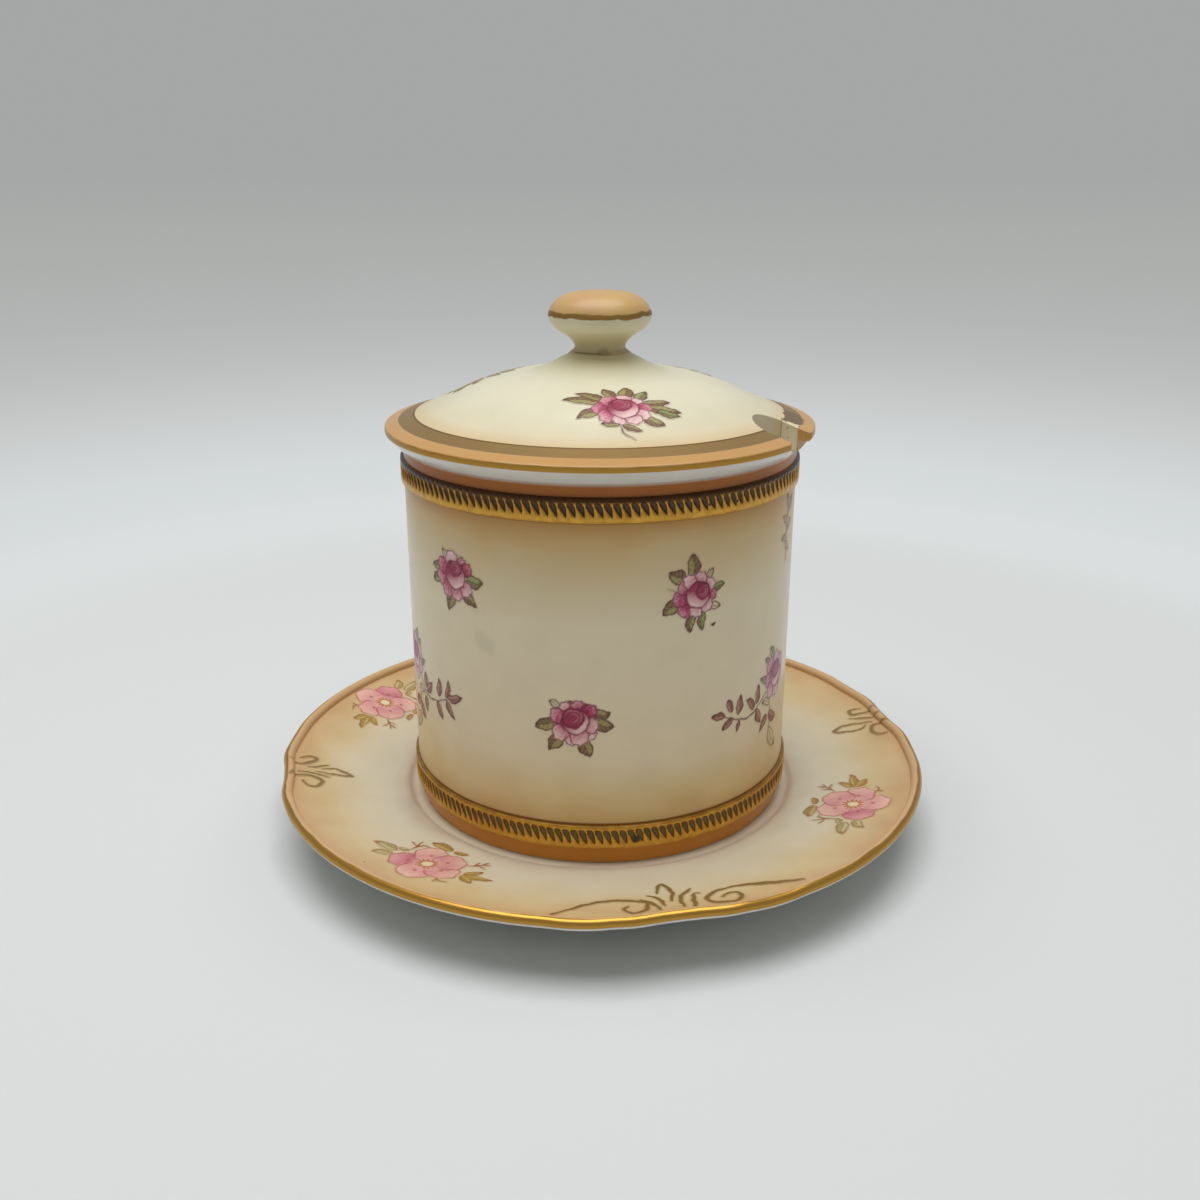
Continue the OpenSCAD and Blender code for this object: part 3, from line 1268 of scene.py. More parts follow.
    def petal(self, spot: Spot, radius: float, lightness: float, middle: Spot, inks: Inks) -> None:
        """Paint an outer petal, darker towards the rose's middle, with a pale lip and an outline.

        Args:
            spot: The petal's middle.
            radius: Its radius, in mm.
            lightness: How light it is, from 0 to 1.
            middle: The rose's middle.
            inks: The colours.
        """
        out = np.array(spot) - np.array(middle)
        out = out / max(float(np.linalg.norm(out)), 1e-6)
        turns = np.arctan2(self.y - spot[1], self.x - spot[0])
        inside = self.disc(*spot, radius + 0.09 * np.sin(7 * turns + 9 * radius))
        body = self.edge(inside)
        reach = 0.5 + 0.5 * ((self.x - spot[0]) * out[0] + (self.y - spot[1]) * out[1]) / radius
        share = 0.2 + 0.7 * lightness + 0.7 * (reach - 0.5) + 0.3 * (self.grain - 0.5)
        bright = self.between(inks.mid, inks.pale, 1.6 * share - 0.6)
        dark = self.between(inks.deep, inks.mid, share / 0.375)
        self.lay(body, np.where(share[:, None] < 0.375, dark, bright))
        self.lay(0.85 * body * self.edge(self.line_w - inside), inks.edge)


ROSE_INKS = Inks(
    deep="#82112f",
    mid="#b9486c",
    pale="#edc9c4",
    edge="#6a0f2c",
    line="#551a12",
    leaves={
        OLIVE: ("#6a3a20", "#a0985c"),
        GREEN: ("#6f5a30", "#94a860"),
        BARE: ("#b39a76", "#c4b894"),
    },
)
SPRAY_INKS = Inks(
    deep="#944064",
    mid="#c07c98",
    pale="#ecd0cc",
    edge="#7c3450",
    line="#541f17",
    leaves={
        OLIVE: ("#7f4332", "#b8876e"),
        GREEN: ("#8c8a68", "#a9ae90"),
        BARE: ("#a98f72", "#c0ab8c"),
    },
)
SAUCER_INKS = Inks(
    deep="#b0486a",
    mid="#d68c90",
    pale="#efc4b0",
    edge="#a84a34",
    line="#9c5a1c",
    leaves={
        OLIVE: ("#a07c2c", "#c8b464"),
        GREEN: ("#a09450", "#ccc490"),
        BARE: ("#c9a06a", "#d8b98a"),
    },
)

UPPER_LEFT_ROSE = Sprig(
    ROSE_INKS,
    blooms=(
        (0.0, 0.0, Bloom(
            petals=(
                (-2.6, -1.0, 2.6, 0.3), (-3.0, 1.2, 1.9, 0.25), (2.6, 2.3, 1.6, 0.35),
                (3.9, 1.6, 1.5, 0.15), (-0.4, 3.0, 1.9, 0.85), (-1.6, -3.2, 2.0, 0.4),
                (1.0, -3.6, 1.9, 0.55), (3.4, -2.4, 1.8, 0.75),
            ),
            cup=(0.5, -0.1, 3.0),
            heart=(0.6, 1.3, 1.65),
            glow=-70.0,
        )),
    ),
    leaves=(
        Leaf((-3.2, 0.6), (-7.2, 0.6), 2.2, GREEN),
        Leaf((-3.4, -1.2), (-7.2, -2.6), 2.4, GREEN),
        Leaf((3.8, -0.4), (8.2, -0.4), 2.8, GREEN),
        Leaf((2.6, -2.6), (6.3, -5.6), 2.7),
        Leaf((-0.2, -3.8), (-1.8, -7.9), 2.8),
        Leaf((-1.8, 2.6), (-3.4, 4.8), 1.7, BARE),
        Leaf((1.6, 3.2), (3.0, 4.0), 0.9, BARE),
    ),
)
UPPER_RIGHT_ROSE = Sprig(
    ROSE_INKS,
    blooms=(
        (0.0, 0.0, Bloom(
            petals=(
                (3.5, -0.9, 1.4, 0.2), (2.5, -3.0, 1.6, 0.8), (-2.3, -3.4, 1.7, 0.25),
                (-3.2, -1.0, 1.9, 0.2), (0.1, -3.9, 1.5, 0.9), (3.0, 1.1, 1.5, 0.75),
                (1.1, 2.6, 1.5, 0.7), (-2.6, 1.0, 1.5, 0.4), (-1.4, 2.2, 1.6, 0.85),
            ),
            cup=(0.6, -0.7, 2.8),
            heart=(1.6, -0.1, 1.55),
            glow=-110.0,
        )),
    ),
    leaves=(
        Leaf((-0.6, 3.2), (-1.0, 7.8), 3.0),
        Leaf((-2.2, 2.2), (-6.0, 4.4), 3.0),
        Leaf((-3.4, -1.6), (-7.1, -4.0), 3.0),
        Leaf((2.4, 2.4), (4.0, 4.4), 1.5, BARE),
        Leaf((3.6, 0.2), (7.0, 0.8), 1.9, GREEN),
        Leaf((3.2, -2.8), (6.1, -3.8), 1.8, BARE),
        Leaf((-0.6, -4.2), (-1.2, -8.2), 2.3),
        Leaf((1.6, -4.2), (1.6, -8.2), 2.0, GREEN),
        Leaf((3.7, -7.4), (4.9, -7.1), 0.7),
    ),
    stems=(Stroke(0.16, ((-6.2, 1.1), (-4.0, 0.6))),),
)
LOWER_ROSE = Sprig(
    ROSE_INKS,
    blooms=(
        (0.0, 0.0, Bloom(
            petals=(
                (0.6, 3.0, 1.6, 0.35), (3.1, 2.2, 1.7, 0.05), (-1.8, 3.0, 1.2, 0.9),
                (-0.6, -4.2, 1.2, 0.9), (3.1, -2.6, 1.5, 0.85), (3.3, -0.8, 1.8, 0.7),
                (-3.2, 1.0, 1.8, 0.4), (-2.7, -2.5, 1.9, 0.75), (1.1, -3.3, 2.0, 0.75),
            ),
            cup=(0.2, 0.0, 2.9),
            heart=(-0.2, 0.7, 2.2),
            glow=-50.0,
        )),
    ),
    leaves=(
        Leaf((-3.2, -0.6), (-8.2, -1.9), 2.9),
        Leaf((3.4, 1.4), (7.4, 1.9), 2.6),
        Leaf((3.4, 0.2), (8.2, -1.2), 3.0),
        Leaf((-2.2, -3.2), (-5.3, -6.5), 2.9),
        Leaf((1.6, -3.8), (3.4, -7.5), 3.1),
        Leaf((-2.8, 2.6), (-5.2, 4.2), 1.7, BARE),
        Leaf((1.0, 3.4), (3.2, 3.4), 1.4),
        Leaf((-1.6, 3.6), (-0.4, 4.4), 0.9),
    ),
)
SIDE_ROSE = Bloom(
    petals=(
        (3.2, -1.4, 2.1, 0.5), (3.0, 1.8, 2.0, 0.55), (0.4, 3.1, 2.0, 0.6), (-2.8, 2.4, 2.0, 0.3),
        (-3.3, -0.4, 1.9, 0.2), (-2.2, -3.0, 2.0, 0.55), (0.8, -3.4, 2.0, 0.7),
    ),
    cup=(0.4, 0.0, 3.0),
    heart=(0.2, 0.9, 1.8),
    glow=-70.0,
)
LEFT_LEANING_SPRAY = Sprig(
    SPRAY_INKS,
    blooms=((10.8, 5.0, SIDE_ROSE),),
    leaves=(
        Leaf((-8.2, 1.2), (-12.2, 1.9), 1.8),
        Leaf((-6.2, 1.6), (-7.7, 4.9), 1.8),
        Leaf((-4.2, 0.6), (-3.7, 4.8), 2.2),
        Leaf((-5.6, 0.1), (-9.1, -1.7), 1.8),
        Leaf((-3.8, -0.8), (-4.4, -3.2), 1.3),
        Leaf((1.3, 0.1), (-1.5, 3.2), 2.0),
        Leaf((2.2, 0.8), (2.5, 5.2), 1.9),
        Leaf((2.0, -0.3), (4.2, -3.9), 2.2),
        Leaf((8.3, -0.8), (4.4, 0.6), 2.0, BARE),
        Leaf((7.2, -3.2), (3.8, -6.1), 2.1),
        Leaf((7.8, -3.2), (12.2, -5.6), 2.6),
        Leaf((8.3, -7.0), (12.6, -12.4), 3.2, BARE),
        Leaf((7.0, 4.0), (3.3, 6.2), 1.8, GREEN),
        Leaf((8.0, 7.8), (5.2, 10.0), 1.9, GREEN),
        Leaf((9.6, 9.0), (7.3, 12.0), 2.2, GREEN),
    ),
    stems=(
        Stroke(0.42, ((-8.4, 1.2), (-5.5, 0.0), (-3.5, -0.7), (-1.2, -1.1), (1.0, -0.6), (6.4, 2.4))),
        Stroke(0.42, ((8.2, -0.8), (8.6, -3.2), (8.4, -7.2))),
    ),
)
RIGHT_LEANING_SPRAY = Sprig(
    SPRAY_INKS,
    blooms=((-11.6, 4.2, SIDE_ROSE),),
    leaves=(
        Leaf((5.6, -0.3), (10.6, 1.4), 2.0),
        Leaf((5.0, -0.4), (6.2, 3.8), 1.7),
        Leaf((4.9, -0.9), (7.8, -4.3), 1.9),
        Leaf((2.0, -1.0), (2.4, 3.2), 2.2),
        Leaf((1.4, -2.2), (3.4, -5.8), 2.0),
        Leaf((-4.0, -2.0), (-0.9, 1.2), 2.0),
        Leaf((-4.2, -1.0), (-4.7, 2.5), 2.2),
        Leaf((-4.4, -3.0), (-4.2, -6.7), 2.3),
        Leaf((-8.2, -5.6), (-5.8, -9.2), 2.5),
        Leaf((-8.4, -1.8), (-5.4, -2.8), 1.8, BARE),
        Leaf((-8.8, -5.6), (-13.2, -7.4), 2.6),
        Leaf((-9.0, -9.0), (-13.0, -13.4), 3.2, BARE),
        Leaf((-8.0, 3.0), (-4.5, 5.2), 1.7, GREEN),
        Leaf((-9.2, 7.0), (-7.0, 9.0), 1.9, GREEN),
        Leaf((-11.0, 8.2), (-9.0, 10.6), 2.2, GREEN),
    ),
    stems=(
        Stroke(0.42, ((5.8, -0.5), (4.0, -1.0), (1.5, -2.2), (-2.5, -2.8), (-4.4, -2.2), (-8.0, 0.6))),
        Stroke(0.42, ((-8.6, -1.6), (-8.6, -5.6), (-9.0, -9.2))),
    ),
)
PALE_SPRIG = Sprig(
    SPRAY_INKS,
    leaves=(
        Leaf((0.6, 4.4), (-0.8, 7.6), 1.4, BARE),
        Leaf((0.8, 4.0), (3.2, 6.4), 1.5, BARE),
        Leaf((-0.4, 1.6), (-3.0, 3.2), 1.4, BARE),
        Leaf((0.0, 0.4), (2.4, 1.6), 1.3, BARE),
        Leaf((-0.6, -1.8), (-3.4, -1.4), 1.4, BARE),
        Leaf((-0.6, -2.6), (1.6, -4.8), 1.5, BARE),
    ),
    stems=(Stroke(0.3, ((0.6, 4.6), (0.0, 2.0), (-0.4, -0.6), (-0.6, -3.0), (0.2, -6.6))),),
)
COVER_SPRAY = Sprig(
    ROSE_INKS,
    blooms=(
        (0.0, 0.0, Bloom(
            petals=(
                (-3.7, -0.3, 2.1, 0.2), (-2.6, -2.5, 2.0, 0.4), (2.8, 2.4, 1.7, 0.85),
                (0.3, 3.0, 1.9, 0.75), (-2.3, 2.3, 1.9, 0.4), (4.3, 0.8, 1.6, 0.3),
                (4.0, -1.4, 1.7, 0.95), (-0.2, -3.2, 1.8, 0.8), (2.3, -2.9, 1.8, 0.9),
            ),
            cup=(0.3, 0.1, 3.2),
            heart=(-0.1, 1.1, 2.0),
            glow=-55.0,
        )),
    ),
    leaves=(
        Leaf((-3.6, 1.4), (-11.4, 3.6), 3.0),
        Leaf((-3.2, 2.2), (-8.8, 5.8), 2.4),
        Leaf((-3.8, -1.0), (-8.6, -3.0), 2.8),
        Leaf((4.0, 2.0), (9.4, 4.4), 2.6),
        Leaf((4.4, 1.2), (11.6, 1.4), 3.0),
        Leaf((6.8, 0.2), (11.4, 0.0), 2.2, GREEN),
        Leaf((3.8, -2.0), (8.4, -3.9), 2.8),
        Leaf((-1.6, 3.0), (-3.6, 7.6), 2.8),
        Leaf((0.6, 3.6), (0.9, 8.8), 3.2),
        Leaf((2.6, 3.0), (4.8, 7.4), 2.6, GREEN),
        Leaf((-0.4, -5.0), (-3.9, -5.0), 1.9),
        Leaf((0.1, -5.0), (3.9, -6.4), 1.9),
    ),
    stems=(Stroke(0.36, ((-0.4, -4.2), (-0.1, -6.0), (0.8, -7.8), (2.4, -9.2))),),
)
SAUCER_FLOWER = Sprig(
    SAUCER_INKS,
    blooms=((0.0, 0.0, DogRose(((170.0, 0.1), (242.0, 0.6), (86.0, 0.7), (318.0, 0.55), (18.0, 0.5)))),),
    leaves=(
        Leaf((-6.8, 5.0), (-12.0, 8.2), 2.6, GREEN),
        Leaf((-7.4, 3.2), (-11.6, 3.4), 2.3, GREEN),
        Leaf((-6.6, 6.4), (-4.2, 5.6), 1.5, GREEN),
        Leaf((4.2, 7.2), (-0.4, 10.6), 2.7),
        Leaf((4.6, 6.8), (7.8, 5.8), 1.5),
        Leaf((7.6, -3.4), (11.4, -2.0), 1.9),
        Leaf((7.6, -3.8), (13.4, -5.8), 2.1),
        Leaf((7.2, -4.2), (9.6, -7.6), 2.1),
    ),
    stems=(
        Stroke(0.5, ((-4.2, 6.0), (-3.0, 8.4), (-2.4, 10.6))),
        Stroke(0.5, ((-3.2, 8.0), (-4.4, 9.8))),
        Stroke(0.5, ((-3.4, 7.6), (-1.8, 8.6), (-0.6, 8.0))),
        Stroke(0.5, ((7.9, 0.6), (10.2, 1.2), (12.5, 1.6))),
        Stroke(0.5, ((9.2, 0.9), (10.4, 2.6))),
        Stroke(0.5, ((9.8, 1.1), (11.6, -0.4))),
        Stroke(0.5, ((10.8, 1.3), (12.2, 2.8))),
        Stroke(0.5, ((2.6, -6.4), (3.4, -7.6), (4.8, -8.0))),
        Stroke(0.5, ((3.0, -6.8), (2.2, -8.2))),
    ),
    bloom_reach=8.6,
)
FRONT_SCROLL = Scroll((
    Stroke(0.9, (
        (64.6, -22.9), (60.5, -14.7), (60.1, -9.4), (61.7, -5.4), (63.0, -4.3), (66.2, -5.5),
        (67.1, -7.7), (65.2, -9.3), (63.5, -8.2),
    )),
    Stroke(0.8, ((60.7, -5.1), (63.2, -3.4), (67.0, -2.7))),
    Stroke(0.8, ((59.4, -3.4), (61.1, -1.7), (64.9, -1.4))),
    Stroke(0.8, ((58.6, -1.2), (56.2, -0.6), (54.6, 0.7), (57.0, 1.4), (59.4, 1.5), (63.1, 0.3))),
    Stroke(0.8, ((58.2, 5.4), (62.0, 2.4), (66.5, 1.9))),
    Stroke(0.8, ((61.1, 6.6), (61.4, 5.1), (69.0, 3.6))),
    Stroke(1.3, ((62.9, 26.4), (62.0, 22.4), (60.6, 17.0), (60.2, 14.0))),
    Stroke(0.9, (
        (60.4, 16.0), (60.2, 14.0), (61.1, 9.9), (63.3, 7.3), (65.9, 7.3), (67.3, 10.3),
        (66.8, 12.6), (64.0, 13.6), (62.9, 11.7), (64.4, 10.1),
    )),
))
LEFT_SCROLL = Scroll((
    Stroke(0.9, ((70.8, -6.4), (67.8, -6.7), (65.4, -9.2), (66.3, -10.5), (68.9, -9.4))),
    Stroke(0.9, (
        (70.8, 1.6), (69.6, -0.3), (66.2, -1.0), (64.0, 1.0), (64.9, 3.4), (67.0, 3.9), (68.1, 1.7),
    )),
    Stroke(0.8, ((63.9, -5.2), (60.9, -5.6), (57.5, -2.9), (61.0, -2.9), (65.4, -3.5))),
    Stroke(0.7, ((62.5, -7.4), (64.9, -5.9), (67.1, -5.4))),
    Stroke(0.7, ((69.3, -2.5), (66.0, -2.4), (62.5, -1.5))),
))
RIGHT_SCROLL = Scroll((
    Stroke(0.9, ((70.8, 5.2), (68.1, 5.6), (65.9, 6.6), (66.3, 8.6), (68.6, 8.1))),
    Stroke(0.9, ((70.8, -2.9), (68.8, -1.4), (67.0, -3.0), (67.4, -6.0), (69.4, -6.4))),
    Stroke(0.8, ((68.4, 0.3), (62.7, 2.6), (59.2, 0.9), (64.7, -1.3), (66.7, -0.1))),
    Stroke(0.7, ((64.8, 5.0), (67.8, 3.0), (70.7, 1.5))),
))


# Pieces


class Laying(Enum):
    """How a painted sheet is laid on a glazed surface, as settings of the Shrinkwrap modifier."""

    ROUND_THE_WALL = {"wrap_method": "NEAREST_SURFACEPOINT"}
    FROM_ABOVE = {
        "wrap_method": "PROJECT",
        "use_project_z": True,
        "use_negative_direction": True,
        "use_positive_direction": False,
    }


@dataclass
class FiredPrints:
    """All the prints of one kind on one surface, as thin skins of enamel or gold.

    Attributes:
        name: The joined piece's name.
        surface: The glazed piece that they are fired on.
        laying: How the sheets are laid on it.
        step: Distance between the points of a sheet, finer than the finest line that shows, in mm.
        lift: Gap between the glaze and the skin, in mm.
        skin: Thickness of the skin, in mm.
        margin: Bare sheet kept round the outermost spots while painting, in mm.
        least_cover: Cover below which the sheet is cut away.
    """

    name: str
    surface: Piece
    laying: Laying
    step: float = 0.18
    lift: float = 0.02
    skin: float = 0.05
    margin: float = 1.2
    least_cover: float = 0.02

    def build(
        self,
        places: Sequence[tuple[Sprig | Scroll, Matrix]],
        material: Material,
        body: Body,
        slot: Slot,
    ) -> None:
        """Paint each design once, lay a copy at each of its places, and join them.

        Args:
            places: Each print's design, and the matrix that takes its sheet to its place.
            material: The glaze with its print.
            body: The body that the surface belongs to.
            slot: The record's slot.
        """
        sheets: dict[int, Piece] = {}
        skins = []
        for design, place in places:
            if id(design) not in sheets:
                sheets[id(design)] = self.model_sheet(design, seed=len(sheets) + 1)
            skins.append(self.lay(sheets[id(design)], place))
        for sheet in sheets.values():
            bpy.data.objects.remove(sheet)
        pick_up(skins[0])
        for skin in skins:
            skin.select_set(True)
        bpy.ops.object.join()
        piece = bpy.context.object
        piece.name = self.name
        smooth(piece, 50)
        dress(piece, (material, None))
        hand_over(piece, body, slot)

    def model_sheet(self, design: Sprig | Scroll, seed: int) -> Piece:
        """Rule a flat sheet, paint a design on it, and cut the bare part away.

        Args:
            design: What is painted.
            seed: Number that settles how the painter's hand wavers.

        Returns:
            The painted sheet, flat at the origin.
        """
        across, up = zip(*design.spots())
        low = (min(across) - self.margin, min(up) - self.margin)
        width, height = max(across) + self.margin - low[0], max(up) + self.margin - low[1]
        deselect_all()
        bpy.ops.mesh.primitive_grid_add(
            x_subdivisions=round(width / self.step), y_subdivisions=round(height / self.step), size=MM
        )
        sheet = bpy.context.object
        with editing(sheet):
            bpy.ops.transform.resize(value=(width, height, 1))
            middle = (low[0] + width / 2, low[1] + height / 2, 0)
            bpy.ops.transform.translate(value=Vector(middle) * MM)
        canvas = Canvas(points_of(sheet), seed)
        design.paint(canvas)
        paint = np.column_stack([canvas.colour, canvas.cover]).astype(np.float32)
        sheet.data.attributes.new(PRINT, "FLOAT_COLOR", "POINT").data.foreach_set("color", paint.ravel())
        select_points(sheet, canvas.cover > self.least_cover)
        with editing(sheet, "KEEP"):
            bpy.ops.mesh.select_more()
            bpy.ops.mesh.select_all(action="INVERT")
            bpy.ops.mesh.delete(type="VERT")
        return sheet

    def lay(self, sheet: Piece, place: Matrix) -> Piece:
        """Lay a copy of a painted sheet on the surface, and give it its thickness.

        Args:
            sheet: The painted sheet.
            place: The matrix that takes it to its place.

        Returns:
            The copy.
        """
        pick_up(sheet)
        bpy.ops.object.duplicate()
        skin = bpy.context.object
        skin.data.transform(place)
        wrap = {"wrap_mode": "ABOVE_SURFACE", "offset": self.lift * MM, **self.laying.value}
        refine(skin, "SHRINKWRAP", target=self.surface, **wrap)
        refine(skin, "SOLIDIFY", thickness=self.skin * MM, offset=1.0)
        return skin


def on_plan(turn: float, radius: float, spin: float, z: float) -> Matrix:
    """Where a sheet lies above a surface, before it is laid down on it.

    Args:
        turn: Direction of its middle, in degrees from +X.
        radius: Distance of its middle from the upright axis, in mm.
        spin: How far the sheet is turned about its middle, in degrees.
        z: Height above the table, in mm.

    Returns:
        The matrix that takes the sheet there, in metres.
    """
    side = math.radians(turn)
    middle = Vector((radius * math.cos(side), radius * math.sin(side), z)) * MM
    return Matrix.Translation(middle) @ Matrix.Rotation(math.radians(spin), 4, "Z")


def on_wall(turn: float, radius: float, z: float) -> Matrix:
    """Where an upright sheet stands against the wall, turned in degrees from the front to the right."""
    stood = Matrix.Translation(Vector((0, -radius, z)) * MM) @ Matrix.Rotation(math.radians(90), 4, "X")
    return Matrix.Rotation(math.radians(turn), 4, "Z") @ stood


@dataclass
class Saucer:
    """The loose saucer: a well for the pot, a sloping lobed border and a foot ring.

    Attributes:
        line_share: How straight the border's slope is, from 0 to 1.
        thin_share: How much thinner the border is at its rim than beside the well.
        nick_turn: Direction of the first of the four nicks, in degrees from +X.
        lobe_draw: How far the rim is drawn in between the lobes.
        nick_draw: How far it is drawn in further at a nick.
        crimp_drop: How far it is pressed down beside a nick.
        crimp_turn: How far from a nick that is, in degrees.
        crimp_in: How far inside the rim that is.
        lobe_size: How far the drawing in between the lobes reaches.
        nick_size: How far the drawing in at a nick reaches.
        crimp_size: How far the pressing down reaches.
        grip_r: Radius of the clay that is gripped.
        flowers: Direction in degrees from +X and radius of each flower, the first seen upright.
    """

    levels: Levels
    steps: int = 432
    well_r: float = 43.6
    border_r: float = 45.2
    step_h: float = 0.9
    border_wall: float = 3.2
    line_share: float = 0.62
    thin_share: float = 0.65
    roll_r: float = 1.2
    ring_r: float = 46.6
    ring_w: float = 3.5
    ring_h: float = 3.0
    ring_round: float = 0.6
    nick_turn: float = 12.0
    lobe_draw: float = 0.45
    nick_draw: float = 0.85
    crimp_drop: float = 0.3
    crimp_turn: float = 15.0
    crimp_in: float = 1.0
    lobe_size: float = 38.0
    nick_size: float = 9.0
    crimp_size: float = 6.0
    grip_r: float = 2.0
    flowers: tuple[Spot, ...] = ((-126.5, 58.1), (-22.6, 59.8), (57.0, 60.0), (152.0, 62.9))

    def border_z(self, part: float) -> float:
        """Height of the border's face, where part is 0 beside the well and 1 at the rolled rim."""
        low, high = self.levels.well_z + self.step_h, self.levels.rim_z - self.roll_r
        return low + (high - low) * (self.line_share * part + (1 - self.line_share) * part * part)

    def under_z(self, part: float) -> float:
        """Height of the border's underside."""
        return self.border_z(part) - self.border_wall * (1 - self.thin_share * part**3)

    def outline(self) -> Outline:
        """The saucer's section, from the middle of the well round to the middle of the underside."""
        well_z = self.levels.well_z
        rim_r, rim_z = self.levels.saucer_r - self.roll_r, self.levels.rim_z - self.roll_r
        meet = 1 - self.roll_r / (rim_r - self.border_r)
        step = [
            (self.well_r - 0.6, well_z),
            (self.well_r + 0.2, well_z + 0.12 * self.step_h),
            (self.border_r - 0.4, well_z + 0.8 * self.step_h),
        ]
        face = [
            (self.border_r + (rim_r - self.border_r) * part, self.border_z(part))
            for part in meet * np.linspace(0, 1, 25)
        ]
        under = [
            (self.ring_r + (rim_r - self.ring_r) * part, self.under_z(part))
            for part in meet * np.linspace(1, 0, 13)
        ]
        inner_r, soft = self.ring_r - self.ring_w, self.ring_round
        return [
            (0.0, well_z),
            *[(self.well_r * share, well_z) for share in (0.2, 0.4, 0.6, 0.8, 0.95)],
            *smooth_through(step, 4)[:-1],
            *face,
            *arc(rim_r, rim_z, self.roll_r, 170, -80, 22),
            *under,
            *arc(self.ring_r - soft, soft, soft, 0, -90, 4),
            *arc(inner_r + soft, soft, soft, -90, -180, 4),
            (inner_r, self.ring_h - soft),
            *arc(inner_r - soft, self.ring_h - soft, soft, 0, 90, 4)[1:],
            (inner_r * 0.5, self.ring_h),
            (0.0, self.ring_h),
        ]

    def press(
        self, piece: Piece, side: float, reach: float, pull: Vector, size: float
    ) -> None:
        """Press the soft clay of the rim at one place.

        Args:
            piece: The saucer.
            side: Direction of the place, in degrees from +X.
            reach: Radius of the place, in mm.
            pull: How far the place moves outwards, sideways and up, in mm.
            size: How far the press reaches, in mm.
        """
        out = Vector((math.cos(math.radians(side)), math.sin(math.radians(side)), 0))
        spot = out * reach + Vector((0, 0, self.levels.rim_z))
        away = np.linalg.norm(points_of(piece) - np.array(spot), axis=1)
        select_points(piece, away < self.grip_r)
        move = (out * pull.x + out.cross(Vector((0, 0, 1))) * pull.y + Vector((0, 0, pull.z))) * MM
        with editing(piece, "KEEP"):
            bpy.ops.transform.translate(
                value=move,
                use_proportional_edit=True,
                proportional_edit_falloff="SMOOTH",
                proportional_size=size * MM,
            )

    def build(self) -> None:
        """Turn the saucer, draw in its nicks, press its crimps, and decorate it."""
        piece = turn("saucer_body", self.outline(), self.steps)
        places = points_of(piece)
        thrown = np.hypot(places[:, 0], places[:, 1]).astype(np.float32)
        piece.data.attributes.new(THROWN, "FLOAT", "POINT").data.foreach_set("value", thrown)
        for corner in range(4):
            nick = self.nick_turn + 90 * corner
            inwards = {self.lobe_size: self.lobe_draw, self.nick_size: self.nick_draw}
            for size, draw in inwards.items():
                self.press(piece, nick, self.levels.saucer_r, Vector((-draw, 0, 0)), size)
            for side in (-self.crimp_turn, self.crimp_turn):
                down = Vector((0, 0, -self.crimp_drop))
                self.press(piece, nick + side, self.levels.saucer_r - self.crimp_in, down, self.crimp_size)
        smooth(piece)
        self.dress(piece)
        hand_over(piece, Body.SAUCER, Slot.SAUCER, "saucer")
        self.print_flowers(piece)
        self.gild(piece)

    def dress(self, piece: Piece) -> None:
        """Glaze the face, and leave the underside white and the foot ring bare."""

        def below(centres: np.ndarray, normals: np.ndarray) -> np.ndarray:
            """The underside, from the rim down to the foot."""
            return (normals[:, 2] < -0.25) | (centres[:, 2] < self.levels.well_z - 0.5)

        def footed(centres: np.ndarray, normals: np.ndarray) -> np.ndarray:
            """The face that stands on the table."""
            return (centres[:, 2] < 0.4 * self.ring_round) & (normals[:, 2] < -0.5)

        dress(
            piece,
            (SaucerGlaze().material("peach_blushed_ivory_glaze", self.levels), None),
            (WhiteGlaze().material("white_glaze_underside"), below),
            (Biscuit().material("bare_clay_saucer_foot"), footed),
        )

    def print_flowers(self, piece: Piece) -> None:
        """Print a dog rose on each lobe, each turned with its place."""
        above = self.levels.rim_z + 5.0
        places = [
            (SAUCER_FLOWER, on_plan(side, radius, side - self.flowers[0][0], above))
            for side, radius in self.flowers
        ]
        material = SaucerGlaze().print_material("enamel_print_on_saucer_glaze", self.levels)
        prints = FiredPrints("saucer_dog_roses", piece, Laying.FROM_ABOVE)
        prints.build(places, material, Body.SAUCER, Slot.SAUCER)

    def gild(self, piece: Piece) -> None:
        """Brush the scrollwork on at the four nicks."""
        scrolls = (RIGHT_SCROLL, FRONT_SCROLL, LEFT_SCROLL, FRONT_SCROLL)
        above = self.levels.rim_z + 5.0
        places = [
            (scroll, on_plan(0.0, 0.0, self.nick_turn + 90 * corner, above))
            for corner, scroll in zip((0, -1, 2, 1), scrolls)
        ]
        material = SaucerGlaze().print_material("matt_gold_scrollwork", self.levels, metallic=0.55)
        prints = FiredPrints("saucer_gilt_scrolls", piece, Laying.FROM_ABOVE)
        prints.build(places, material, Body.SAUCER, Slot.SAUCER)


